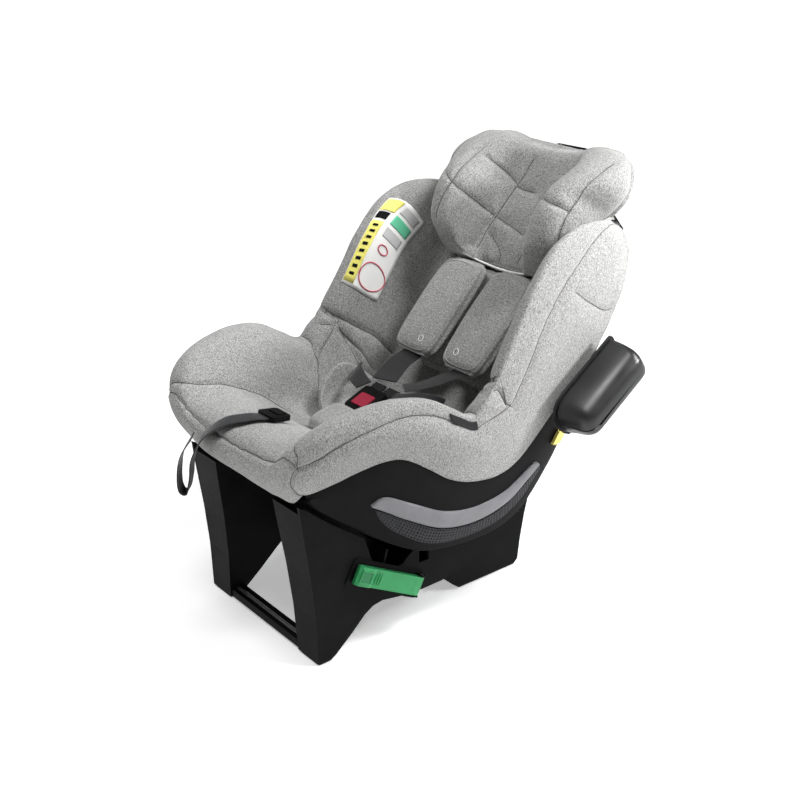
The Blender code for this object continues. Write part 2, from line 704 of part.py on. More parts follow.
def lean_point(x, along, out):
    """A point by its place along the headrest's travel and its distance towards the child."""
    up = Vector((0.0, math.sin(LEAN), math.cos(LEAN)))
    forward = Vector((0.0, -math.cos(LEAN), math.sin(LEAN)))
    return Vector((x, HEADREST_ANCHOR[0], HEADREST_ANCHOR[1])) + up * along + forward * out


HEADREST_STATIONS = (   # along, half width, lobe height towards the child, thickness of the middle
    (2, 118, 18, 6), (10, 130, 32, 12), (30, 141, 54, 16), (60, 147, 64, 20), (90, 149, 66, 22),
    (112, 151, 62, 23), (128, 159, 56, 24), (145, 166, 48, 25), (165, 166, 38, 26), (184, 158, 27, 27),
    (198, 146, 14, 24), (206, 126, 0, 14))
HEADREST_BACK = -27.0


def add_headrest():
    """Padded headrest with side lobes, its plastic back, guide tongue, latch and handle."""
    profile = ((0.0, 0.0), (0.30, 0.02), (0.45, 0.12), (0.54, 0.55), (0.64, 0.94), (0.80, 1.0),
               (0.94, 0.72), (1.0, 0.15))
    sections = []
    for along, half, lobe, middle in HEADREST_STATIONS:
        front = middle + HEADREST_BACK + 2.0
        line = [(half * f, front + (lobe - front) * g) for f, g in profile]
        line += [(half * 0.96, HEADREST_BACK + 13.0), (half * 0.84, HEADREST_BACK + 0.5)]
        right = [lean_point(x, along, out) for x, out in line]
        left = [lean_point(-x, along, out) for x, out in reversed(line[1:])]
        sections.append(right + [lean_point(0.0, along, HEADREST_BACK)] + left)
    add_object("headrest_pad", loft_mesh(sections), fabric())
    shell = []
    for along, half in ((6, 92), (20, 104), (100, 112), (170, 112), (192, 104), (200, 92)):
        outline = ((-half, HEADREST_BACK - 0.4), (half, HEADREST_BACK - 0.4), (half, HEADREST_BACK - 3.0),
                   (0.4 * half, HEADREST_BACK - 6.5), (-0.4 * half, HEADREST_BACK - 6.5),
                   (-half, HEADREST_BACK - 3.0))
        shell.append([lean_point(x, along, out) for x, out in outline])
    add_object("headrest_shell", loft_mesh(shell), black_plastic())
    tongue = [[lean_point(x, along, out) for x, out in box_outline((-24, -36.8), (24, -34.8))]
              for along in (-100.0, 100.0)]
    add_object("headrest_tongue", loft_mesh(tongue), black_plastic())


def add_headrest_handle():
    """Pull handle at the top rear of the headrest, and the housing that guides it."""
    housing = [[lean_point(x, along, out) for x, out in box_outline((-58, -52.0), (58, -34.4))]
               for along in (140.0, 186.0)]
    body = add_object("handle_housing", loft_mesh(housing), black_plastic())
    pocket = [[lean_point(x, along, out) for x, out in box_outline((-46, -48.0), (46, -38.0))]
              for along in (150.0, 190.0)]
    cut(body, loft_mesh(pocket))
    loop = rounded([(-45, 164), (-45, 206), (-30, 217), (30, 217), (45, 206), (45, 164)], (2, 8, 8, 8, 8, 2))
    handle = add_object("headrest_handle", loft_mesh(
        [[lean_point(x, along, out) for x, along in loop] for out in (-47.5, -38.5)]), black_plastic())
    hole = rounded([(-33, 190), (-33, 202), (-26, 208), (26, 208), (33, 202), (33, 190)], 3)
    cut(handle, loft_mesh([[lean_point(x, along, out) for x, along in hole] for out in (-52, -34)]))
    turns, points = 4, []
    for i in range(turns * 8 + 1):
        angle = 2 * math.pi * i / 8
        along = 151.5 + 11.5 * i / (turns * 8)
        points.append(lean_point(2.6 * math.cos(angle), along, -43.0 + 2.6 * math.sin(angle)))
    add_object("handle_spring", tube(points, 0.5, 5), steel())


# ---------------------------------------------------------------- body insert


def add_insert():
    """The removable insert: a back pad and a seat pad with raised hip wings."""
    sections = []
    for along, half, front in ((-178, 84, -16), (-170, 94, -10), (-120, 100, -8), (-60, 100, -8),
                               (-22, 92, -10), (-12, 80, -16)):
        profile = ((0.0, front), (0.6 * half, front - 1), (0.86 * half, front - 2), (0.97 * half, front - 9),
                   (half, -24.0), (0.92 * half, -31.0), (0.6 * half, -34.4))
        right = [lean_point(x, along, out) for x, out in profile]
        left = [lean_point(-x, along, out) for x, out in reversed(profile[1:])]
        sections.append(right + [lean_point(0.0, along, -34.4)] + left)
    add_object("insert_back_pad", loft_mesh(sections), fabric())
    rows = ((164, 250.3, 10, 60, 6), (178, 246.2, 17, 92, 16), (200, 242.2, 20, 106, 38),
            (228, 238.4, 21, 111, 54), (256, 236.2, 21, 111, 48), (284, 236.6, 20, 106, 26),
            (302, 238.2, 16, 96, 12))
    sections = []
    for y, low, thick, half, wing in rows:
        top = low + thick
        profile = ((0.0, top), (0.70 * half, top), (0.86 * half, top + 0.35 * wing),
                   (0.94 * half, top + wing), (half, top + 0.96 * wing), (1.02 * half, top + 0.4 * wing),
                   (half, low + 15.0), (0.86 * half, low + 5.0), (0.6 * half, low + 0.5))
        right = [Vector((x, y, z)) for x, z in profile]
        left = [Vector((-x, y, z)) for x, z in reversed(profile[1:])]
        sections.append(right + [Vector((0.0, y, low))] + left)
    add_object("insert_seat_pad", loft_mesh(sections), fabric())


# ---------------------------------------------------------------- harness


BUCKLE_CENTRE = (0.0, 203.0, 294.0)
BUCKLE_TILT = math.radians(23.0)


def buckle_frame():
    """The buckle's own frame: x across, y along the crotch strap to the rear, z out of its face."""
    matrix = Matrix.Rotation(BUCKLE_TILT, 4, "X")
    matrix.translation = Vector(BUCKLE_CENTRE)
    return matrix


def add_shoulder_straps():
    """Shoulder webbing: out of the slot below the headrest, down under the pad, to the buckle."""
    lean_part = ((48, 116, -35.6), (48, 20, -35.6), (49, 4, -32.5), (51, -9, -8.0), (53, -26, -1.0),
                 (55, -60, 6.0), (56, -120, 17.0), (56, -168, 27.0))
    points = [lean_point(*p) for p in lean_part]
    points += [Vector((48, 298, 321)), Vector((36, 270, 314)), Vector((22, 247, 311))]
    across = [(1, 0, 0)] * 8 + [(0.97, -0.2, 0.1), (0.9, -0.35, 0.1), (0.85, -0.45, 0.1)]
    strap = ribbon([tuple(p) for p in points], WEBBING_WIDTH, WEBBING_THICKNESS, across, 34)
    both_sides("shoulder_strap", strap, webbing())


def add_shoulder_pads():
    """Padded sleeves over the shoulder webbing."""
    rows = ((-12, 30, 8, 0.0), (-20, 38, 14, 0.0), (-60, 42, 17, 6.8), (-120, 42, 17, 17.8),
            (-158, 40, 15, 25.8), (-168, 31, 8, 27.8))
    centre = 54.0
    sections = []
    for along, half, thick, lift in rows:
        base = lift + 1.6
        profile = ((-half, base), (-half, base + 0.5 * thick), (-0.8 * half, base + 0.92 * thick),
                   (0.0, base + thick), (0.8 * half, base + 0.92 * thick),
                   (half, base + 0.5 * thick), (half, base))
        sections.append([lean_point(centre + x, along, out) for x, out in profile])
    both_sides("shoulder_pad", loft_mesh(sections), fabric())


def add_lap_straps():
    """Lap webbing from the hip slots to the buckle."""
    points = [(97, 256, 303), (90, 246, 309), (74, 232, 312), (52, 222, 310), (33, 217, 307)]
    across = [(0.1, 0.75, 0.6), (0.15, 0.75, 0.6), (0.2, 0.8, 0.5), (0.2, 0.9, 0.35), (0.1, 0.95, 0.3)]
    both_sides("lap_strap", ribbon(points, 25.0, WEBBING_THICKNESS, across, 14), webbing())


def add_buckle():
    """Buckle body with its red release button and the two tongues that plug into its rear end."""
    frame = buckle_frame()
    shape = rounded(box_outline((-24, -30), (24, 18)), (8, 8, 5, 5))
    body = add_object("buckle_body", moved(prism(shape, "z", -9.0, 10.0), frame), black_plastic())
    pocket = prism(rounded(box_outline((-15.5, -21.5), (15.5, 3.5)), 3), "z", 3.0, 14.0)
    cut(body, moved(pocket, frame))
    tongue_way = prism(box_outline((-21, 4.0), (21, 30.0)), "z", -1.6, 1.6)
    cut(body, moved(tongue_way, frame))
    button = moved(prism(rounded(box_outline((-15, -21), (15, 3)), 3), "z", 7.4, 11.6), frame)
    face = frame @ Vector((0.0, -9.0, 7.4))
    add_object("buckle_button", button, red_plastic(), tuple(face))
    spring = []
    for i in range(25):
        angle = 2 * math.pi * i / 8
        turn = (2.6 * math.cos(angle), -9 + 2.6 * math.sin(angle), 3.8 + 2.8 * i / 24)
        spring.append(frame @ Vector(turn))
    add_object("buckle_spring", tube([tuple(p) for p in spring], 0.4, 5), steel())
    blade = [(2.2, 6.0), (19.5, 6.0), (19.5, 19.0), (27.0, 24.0), (27.0, 36.0), (4.0, 36.0), (2.2, 30.0)]
    both_sides("buckle_tongue", moved(prism(blade, "z", -1.2, 1.2), frame), steel())


def add_crotch_pieces():
    """Crotch webbing under its padded cuff."""
    points = [(0, 119, 270.4), (0, 134, 271.2), (0, 150, 275.2), (0, 163, 280.2)]
    add_object("crotch_strap", ribbon(points, WEBBING_WIDTH, WEBBING_THICKNESS, (1, 0, 0), 8), webbing())
    sections = []
    rows = ((111, 271.6, 20, 7), (116, 273.0, 27, 13), (133, 274.2, 31, 16), (152, 278.0, 31, 16),
            (163, 282.2, 28, 14), (167, 283.8, 23, 8))
    for y, low, half, thick in rows:
        profile = ((-half, low), (-half, low + 0.5 * thick), (-0.75 * half, low + 0.95 * thick),
                   (0, low + thick), (0.75 * half, low + 0.95 * thick), (half, low + 0.5 * thick),
                   (half, low))
        sections.append([Vector((x, y, z)) for x, z in profile])
    add_object("crotch_pad", loft_mesh(sections), fabric())


def add_adjuster():
    """Harness adjuster at the front of the seat: housing, button and pull strap."""
    frame = Matrix.Translation(Vector((0.0, 40.0, 313.2))) @ Matrix.Rotation(math.radians(-9.0), 4, "X")
    shape = prism(rounded(box_outline((-19, -17), (19, 15)), 6), "z", 0.0, 7.0)
    housing = add_object("adjuster_housing", moved(shape, frame), black_plastic())
    cut(housing, moved(prism(box_outline((-11.4, -3.4), (11.4, 11.4)), "z", 1.6, 12.0), frame))
    cut(housing, moved(prism(box_outline((-14, -30), (14, -7)), "z", 1.4, 4.6), frame))
    button = moved(prism(rounded(box_outline((-11, -3), (11, 11)), 2), "z", 5.2, 8.6), frame)
    face = frame @ Vector((0.0, 4.0, 5.2))
    add_object("adjuster_button", button, black_plastic(), tuple(face))
    exit_point = frame @ Vector((0.0, -9.0, 3.0))
    route = [tuple(exit_point), (-1, 22, 319.2), (-8, 6, 320.5), (-26, -22, 315), (-42, -46, 296),
             (-54, -58, 264), (-60, -60, 232), (-62, -66, 212), (-66, -74, 218), (-66, -74, 244),
             (-58, -72, 272), (-46, -62, 297)]
    across = [(1, 0, 0), (1, 0, 0), (0.97, -0.2, 0), (0.85, -0.5, 0), (0.75, -0.6, 0)]
    across += [(0.7, -0.7, 0)] * 5 + [(0.72, -0.65, 0), (0.75, -0.6, 0)]
    strap = ribbon(route, PULL_STRAP_WIDTH, WEBBING_THICKNESS, across, 40)
    add_object("pull_strap", strap, webbing())


def add_harness_inside():
    """The adjuster strap and the yoke, between the inner bucket and the moulded shell."""
    route = [(0, 60, 276), (0, 120, 238), (0, 200, 214), (0, 280, 207), (0, 348, 224), (0, 402, 276),
             (0, 440, 330), (0, 466, 372)]
    strap = ribbon(route, PULL_STRAP_WIDTH, WEBBING_THICKNESS, (1, 0, 0), 24)
    add_object("adjuster_strap", strap, webbing())
    outline = rounded([(-44, -34), (-44, -22), (44, -22), (44, -34), (14, -52), (-14, -52)], 3)
    yoke = [[lean_point(x, along, out) for x, along in outline] for out in (-64.5, -62.5)]
    add_object("harness_yoke", loft_mesh(yoke), steel())


# ---------------------------------------------------------------- sewn pieces


def sewn_patch(side, stations, columns, lift, thickness, rows=7, across=5):
    """A thin patch on the covers' surface between two stations and two points of the section."""
    near, far = [], []
    for r in range(rows):
        position = stations[0] + (stations[1] - stations[0]) * r / (rows - 1)
        points = [tuple(p) for p in bucket_section(position)]
        line = [Vector(catmull(points, columns[0] + (columns[1] - columns[0]) * c / (across - 1)))
                for c in range(across)]
        near.append([Vector((side * p.x, p.y, p.z)) for p in line])
    normals = grid_normals(near)
    for row, line in zip(near, normals):
        far.append([p + n * side * (lift + thickness) for p, n in zip(row, line)])
    near = [[p + n * side * lift for p, n in zip(row, line)] for row, line in zip(near, normals)]
    return skin_mesh(near, far)


def add_sewn_patches():
    """A label on the left wing's inner face and a small tag on the right rim."""
    label = material("label", (0.85, 0.85, 0.82), 0.6)
    add_object("sewn_label", sewn_patch(-1, LABEL_STATIONS, LABEL_COLUMNS, 1.3, 0.7), label)
    tag = sewn_patch(1, TAG_STATIONS, TAG_COLUMNS, 1.3, 0.7, 4, 3)
    add_object("side_tag", tag, black_plastic())


# ---------------------------------------------------------------- assembly


def clear_scene():
    for old in list(bpy.data.objects):
        bpy.data.objects.remove(old, do_unlink=True)


def main():
    clear_scene()
    add_bucket_and_covers()
    add_shell()
    add_top_trim()
    add_side_panels()
    add_crossbar()
    add_base_pan()
    add_rear_foot()
    add_belt_bar()
    add_side_trim()
    add_belt_guides()
    add_clips()
    add_pod()
    add_headrest()
    add_headrest_handle()
    add_insert()
    add_shoulder_straps()
    add_shoulder_pads()
    add_lap_straps()
    add_buckle()
    add_crotch_pieces()
    add_adjuster()
    add_harness_inside()
    add_sewn_patches()


main()
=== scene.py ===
import math

import bmesh
import bpy
import numpy as np
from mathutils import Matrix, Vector, kdtree, noise
from mathutils.bvhtree import BVHTree


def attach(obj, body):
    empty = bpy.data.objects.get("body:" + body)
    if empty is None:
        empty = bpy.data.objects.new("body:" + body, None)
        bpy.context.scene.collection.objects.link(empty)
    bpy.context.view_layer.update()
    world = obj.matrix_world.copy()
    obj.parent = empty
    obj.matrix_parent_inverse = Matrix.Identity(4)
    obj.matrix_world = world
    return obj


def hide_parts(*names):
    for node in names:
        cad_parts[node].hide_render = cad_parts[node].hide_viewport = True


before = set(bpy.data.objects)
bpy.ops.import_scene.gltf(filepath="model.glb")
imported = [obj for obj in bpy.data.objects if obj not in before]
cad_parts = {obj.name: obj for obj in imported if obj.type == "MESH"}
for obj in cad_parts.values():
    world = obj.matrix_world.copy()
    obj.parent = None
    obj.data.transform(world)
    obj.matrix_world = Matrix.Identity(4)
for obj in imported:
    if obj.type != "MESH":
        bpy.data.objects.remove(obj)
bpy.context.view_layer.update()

# Lengths are millimetres in the seat's design frame: +X to the viewer's right, +Y to the rear, +Z up,
# y = 0 at the toe of the front legs. to_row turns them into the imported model's metres.
MM = 0.001
REAR_FOOT_Y = 350.0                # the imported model's origin
LEAN = math.radians(33.0)          # of the back, from upright
HEADREST_ANCHOR = (448.0, 456.0)   # y and z of the foot of the headrest's travel
OUTWARD = Vector((0.0, -math.cos(LEAN), math.sin(LEAN)))   # from the back towards the child
SIDES = (("right", 1.0), ("left", -1.0))

# One row per section of the bucket, from the front hem to the top of the back: centre y, z; floor half
# width; rim x, y, z; bulge half width; hem x, y, z; shell ridge x, y, z; shell underside y, z.
STATIONS = (
    (-14, 244, 72, 116, -17, 250, 130, 138, -12, 262, 134, -6, 256, -6, 240),
    (-34, 266, 80, 138, -36, 286, 150, 149, 5, 271, 137, 8, 240, 4, 232),
    (-38, 290, 92, 152, -38, 318, 166, 160, 26, 281, 143, 38, 216, 28, 212),
    (-22, 306, 104, 163, -22, 345, 181, 173, 50, 293, 149, 70, 193, 60, 190),
    (6, 312, 112, 173, 6, 364, 194, 186, 80, 303, 156, 100, 171, 95, 168),
    (40, 308, 118, 184, 46, 376, 204, 192, 110, 300, 164, 132, 151, 130, 148),
    (80, 288, 122, 191, 93, 382, 210, 195, 145, 279, 170, 160, 139, 160, 136),
    (122, 264, 124, 196, 143, 374, 212, 196, 180, 255, 173, 190, 133, 190, 130),
    (166, 248, 126, 199, 186, 351, 212, 196, 212, 240, 174, 222, 129, 222, 126),
    (215, 238, 127, 201, 215, 336, 211, 195, 245, 232, 174, 254, 127, 254, 124),
    (262, 234, 128, 202, 238, 350, 209, 194, 275, 230, 174, 288, 128, 286, 125),
    (310, 236, 128, 200, 262, 378, 207, 193, 308, 238, 173, 318, 134, 320, 130),
    (354, 254, 130, 196, 294, 428, 206, 190, 340, 256, 171, 350, 148, 360, 142),
    (392, 300, 134, 193, 330, 487, 206, 189, 372, 285, 169, 388, 184, 404, 176),
    (424, 348, 138, 190, 368, 530, 205, 188, 418, 325, 169, 424, 234, 444, 232),
    (458, 400, 140, 187, 415, 551, 202, 188, 478, 385, 170, 464, 322, 490, 325),
    (494, 456, 140, 183, 462, 554, 197, 188, 512, 443, 171, 508, 410, 532, 412),
    (547, 538, 136, 172, 502, 547, 186, 180, 533, 500, 168, 546, 486, 584, 520),
)


# ---- numbers


def catmull(values, at, closed=False):
    """Smooth rows through the listed ones, at fractional indices."""
    values = np.asarray(values, float)
    at = np.atleast_1d(np.asarray(at, float))
    count = len(values)
    if closed:
        i = np.floor(at).astype(int)
        before, start, end, after = (values[(i + k) % count] for k in (-1, 0, 1, 2))
    else:
        at = np.clip(at, 0, count - 1)
        i = np.minimum(at.astype(int), count - 2)
        before, start = values[np.maximum(i - 1, 0)], values[i]
        end, after = values[i + 1], values[np.minimum(i + 2, count - 1)]
    t = (at - i).reshape((-1,) + (1,) * (values.ndim - 1))
    return 0.5 * (2 * start + (end - before) * t + (2 * before - 5 * start + 4 * end - after) * t ** 2
                  + (3 * start - before - 3 * end + after) * t ** 3)


def section_points(stations):
    """The control points of each section, from the middle over the rim to the hem."""
    s = catmull(STATIONS, stations)
    centre = np.stack([0 * s[:, 0], s[:, 0], s[:, 1]], 1)
    floor, rim, bulge, hem = s[:, 2], s[:, 3:6], s[:, 6], s[:, 7:10]
    crest = rim * (0, 1, 1)
    wall = rim[:, 0] - floor
    inside = ((0 * floor, 0.0), (0.6 * floor, 0.005), (floor, 0.10), (floor + 0.32 * wall, 0.50),
              (floor + 0.62 * wall, 0.88), (rim[:, 0], 1.0))
    outside = ((0.5 * (rim[:, 0] + bulge) + 2.0, 0.10), (bulge, 0.38),
               (0.35 * bulge + 0.65 * hem[:, 0], 0.78))
    points = [centre + (crest - centre) * h + x[:, None] * (1, 0, 0) for x, h in inside]
    points += [crest + (hem - rim) * (0, 1, 1) * d + x[:, None] * (1, 0, 0) for x, d in outside]
    return np.stack(points + [hem], 1)


def both_halves(half, columns):
    """A grid across both sides from control points on the right; a negative column is on the left."""
    columns = np.asarray(columns, float)
    grid = catmull(half.transpose(1, 0, 2), np.abs(columns)).transpose(1, 0, 2)
    grid[..., 0] *= np.where(columns < 0, -1.0, 1.0)
    return grid


def cover_surface(stations, columns):
    """Points of the covers at station numbers and columns."""
    return both_halves(section_points(stations), columns)


def cover_line(points, step=1.0):
    """A smooth line on the covers through (station, column) points, evenly spaced."""
    fine = catmull(points, np.linspace(0, len(points) - 1, 40 * len(points)))
    return even([cover_surface([station], [column])[0, 0] for station, column in fine], step)


def even(line, step):
    """The same line with evenly spaced points."""
    line = np.asarray(line, float)
    length = np.concatenate([[0], np.cumsum(np.linalg.norm(np.diff(line, axis=0), axis=1))])
    at = np.linspace(0, length[-1], max(2, int(round(length[-1] / step)) + 1))
    return np.stack([np.interp(at, length, line[:, k]) for k in range(3)], 1)


def smooth_line(points, step=2.0, closed=False):
    """A smooth, evenly sampled line through a few points."""
    points = np.asarray(points, float)
    top = len(points) if closed else len(points) - 1
    return even(catmull(points, np.linspace(0, top, 24 * len(points)), closed), step)


def unit(vectors):
    """The same vectors at a length of one."""
    return vectors / np.maximum(np.linalg.norm(vectors, axis=-1, keepdims=True), 1e-9)


def normals_of(grid, wrap=False):
    """Unit normals of a grid of points: across turned to along."""
    across = np.gradient(grid, axis=1)
    if wrap:
        ring = np.concatenate([grid[:, -1:], grid, grid[:, :1]], 1)
        across = ring[:, 2:] - ring[:, :-2]
    return unit(np.cross(across, np.gradient(grid, axis=0)))


def outward_normals(grid):
    """Unit normals of a closed loft, pointing out of it."""
    normals = normals_of(grid, True)
    inward = np.sum((grid - grid.mean((0, 1))) * normals) < 0
    return -normals if inward else normals


def lean(x, along, out):
    """Points by their place along the headrest's travel and distance towards the child."""
    x, along, out = np.broadcast_arrays(np.asarray(x, float), along, out)
    y = HEADREST_ANCHOR[0] + along * math.sin(LEAN) - out * math.cos(LEAN)
    z = HEADREST_ANCHOR[1] + along * math.cos(LEAN) + out * math.sin(LEAN)
    return np.stack([x, y, z], -1)


def near_line(points, line):
    """Distance from each point to a line given by closely spaced points."""
    tree = kdtree.KDTree(len(line))
    for i, p in enumerate(line):
        tree.insert(p, i)
    tree.balance()
    flat = points.reshape(-1, points.shape[-1])
    return np.array([tree.find(p)[2] for p in flat]).reshape(points.shape[:-1])


def soft_noise(grid, size, amount, seed=0.0):
    """A smooth random height for each point of a grid."""
    flat = grid.reshape(-1, 3) / size + seed
    values = [noise.noise(Vector(p)) for p in flat]
    return amount * np.array(values).reshape(grid.shape[:-1])


# ---- meshes


def to_row(points):
    """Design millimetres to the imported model's metres."""
    return (np.asarray(points, float) - (0.0, REAR_FOOT_Y, 0.0)) * MM


def new_mesh(name, verts, faces, finish, smooth=60.0, uvs=None):
    """A mesh object from design millimetres."""
    mesh = bpy.data.meshes.new(name)
    mesh.from_pydata(to_row(verts).tolist(), [], [tuple(int(i) for i in f) for f in faces])
    if uvs is not None:
        layer = mesh.uv_layers.new(name="UVMap")
        loops = np.zeros(len(mesh.loops), int)
        mesh.loops.foreach_get("vertex_index", loops)
        layer.data.foreach_set("uv", np.asarray(uvs, np.float32)[loops].ravel())
    mesh.validate()
    body = bmesh.new()
    body.from_mesh(mesh)
    bmesh.ops.recalc_face_normals(body, faces=body.faces)
    body.to_mesh(mesh)
    body.free()
    mesh.shade_smooth()
    if smooth < 180:
        mesh.set_sharp_from_angle(angle=math.radians(smooth))
    mesh.materials.append(finish)
    made = bpy.data.objects.new(name, mesh)
    bpy.context.scene.collection.objects.link(made)
    return made


def grid_faces(rows, columns, wrap=False, caps=False):
    """Quads of a grid, closed round its columns and at its ends if asked."""
    faces = []
    last = columns if wrap else columns - 1
    for r in range(rows - 1):
        for c in range(last):
            d = (c + 1) % columns
            faces.append((r * columns + c, r * columns + d, (r + 1) * columns + d, (r + 1) * columns + c))
    if caps:
        faces.append(tuple(range(columns)))
        faces.append(tuple((rows - 1) * columns + c for c in range(columns)))
    return faces


def sheet_mesh(name, grid, finish, smooth=60.0):
    """An open sheet through a grid."""
    return new_mesh(name, grid.reshape(-1, 3), grid_faces(*grid.shape[:2]), finish, smooth)


def skin_of(name, outer, inner, finish, smooth=50.0):
    """A closed wall between two grids of the same size."""
    rows, columns = outer.shape[:2]
    base = rows * columns
    faces = grid_faces(rows, columns)
    faces += [tuple(base + i for i in reversed(f)) for f in faces]
    edge = list(range(columns)) + [r * columns + columns - 1 for r in range(1, rows)]
    edge += [(rows - 1) * columns + c for c in range(columns - 2, -1, -1)]
    edge += [r * columns for r in range(rows - 2, 0, -1)]
    for i, here in enumerate(edge):
        after = edge[(i + 1) % len(edge)]
        faces.append((here, after, base + after, base + here))
    verts = np.concatenate([outer.reshape(-1, 3), inner.reshape(-1, 3)])
    return new_mesh(name, verts, faces, finish, smooth)


def tube_mesh(name, lines, radius, finish, sides=6, closed=False):
    """Round cords along lines, all in one mesh; open ones taper at their ends."""
    verts, faces = [], []
    turns = [2 * math.pi * k / sides for k in range(sides)]
    for line in lines:
        line = np.asarray(line, float)
        count, start = len(line), len(verts)
        ahead = unit(np.roll(line, -1, 0) - np.roll(line, 1, 0) if closed else np.gradient(line, axis=0))
        side = np.cross(ahead[0], (0.3, 0.5, 0.8))
        for i in range(count):
            side = unit(side - ahead[i] * side.dot(ahead[i]))
            other = np.cross(ahead[i], side)
            reach = radius if closed else radius * min(1.0, 0.25 + 0.5 * min(i, count - 1 - i))
            verts += [line[i] + reach * (side * math.cos(a) + other * math.sin(a)) for a in turns]
        for i in range(count if closed else count - 1):
            here, after = start + i * sides, start + (i + 1) % count * sides
            for k in range(sides):
                m = (k + 1) % sides
                faces.append((here + k, here + m, after + m, after + k))
        if not closed:
            faces += [tuple(range(end, end + sides)) for end in (start, start + (count - 1) * sides)]
    return new_mesh(name, verts, faces, finish)


def loft(sections, rows, around, dome=0.0, dome_steps=5):
    """Finer closed sections through coarse ones, with domed ends."""
    sections = np.asarray(sections, float)
    fine = catmull(sections, np.linspace(0, len(sections) - 1, rows))
    ring = catmull(fine.transpose(1, 0, 2), np.linspace(0, sections.shape[1], around + 1)[:-1], True)
    grid = ring.transpose(1, 0, 2)
    ends = []
    for end, inner in ((grid[0], grid[1]), (grid[-1], grid[-2])):
        middle = end.mean(0)
        spread = end - middle
        radius = np.linalg.norm(spread, axis=1, keepdims=True)
        ahead = unit(middle - inner.mean(0))
        steps = []
        for k in range(1, dome_steps + 1):
            angle = 0.5 * math.pi * k / dome_steps
            shrink = np.maximum(1.0 - dome * (1.0 - math.cos(angle)) / radius, 0.02)
            steps.append(middle + spread * shrink + ahead * dome * math.sin(angle))
        ends.append(steps)
    if not dome:
        return grid
    return np.concatenate([ends[0][::-1], grid, ends[1]])


def loft_object(name, grid, finish, smooth=70.0):
    """A closed solid through a loft's grid."""
    rows, around = grid.shape[:2]
    return new_mesh(name, grid.reshape(-1, 3), grid_faces(rows, around, True, True), finish, smooth)


def strap_mesh(name, points, width, thickness, across, finish, step=2.5):
    """A woven strap along a smooth line, with rounded edges and UVs in metres."""
    line = smooth_line(points, step)
    across = np.broadcast_to(np.asarray(across, float), (len(points), 3))
    sides = catmull(across, np.linspace(0, len(points) - 1, len(line)))
    ahead = unit(np.gradient(line, axis=0))
    sides = unit(sides - ahead * np.sum(sides * ahead, 1, keepdims=True))
    up = np.cross(sides, ahead)
    w, t = width / 2.0, thickness / 2.0
    left = [(-w, 0.0), (-w + 0.6, t * 0.8), (-w + 2.0, t), (-w * 0.33, t * 0.92)]
    shape = left + [(-a, b) for a, b in reversed(left)]
    shape += [(-a, -b) for a, b in left[1:3]] + [(a, -b) for a, b in reversed(left[1:3])]
    verts, uvs, run = [], [], 0.0
    for i, p in enumerate(line):
        run += float(np.linalg.norm(p - line[max(i - 1, 0)]))
        for a, b in shape:
            verts.append(p + sides[i] * a + up[i] * b)
            uvs.append(((a + w) * MM, run * MM))
    return new_mesh(name, verts, grid_faces(len(line), len(shape), True, True), finish, 60.0, uvs)


def mirrored(values):
    """Points on the other side of the mid-plane."""
    return np.asarray(values, float) * (-1.0, 1.0, 1.0)


# ---- materials


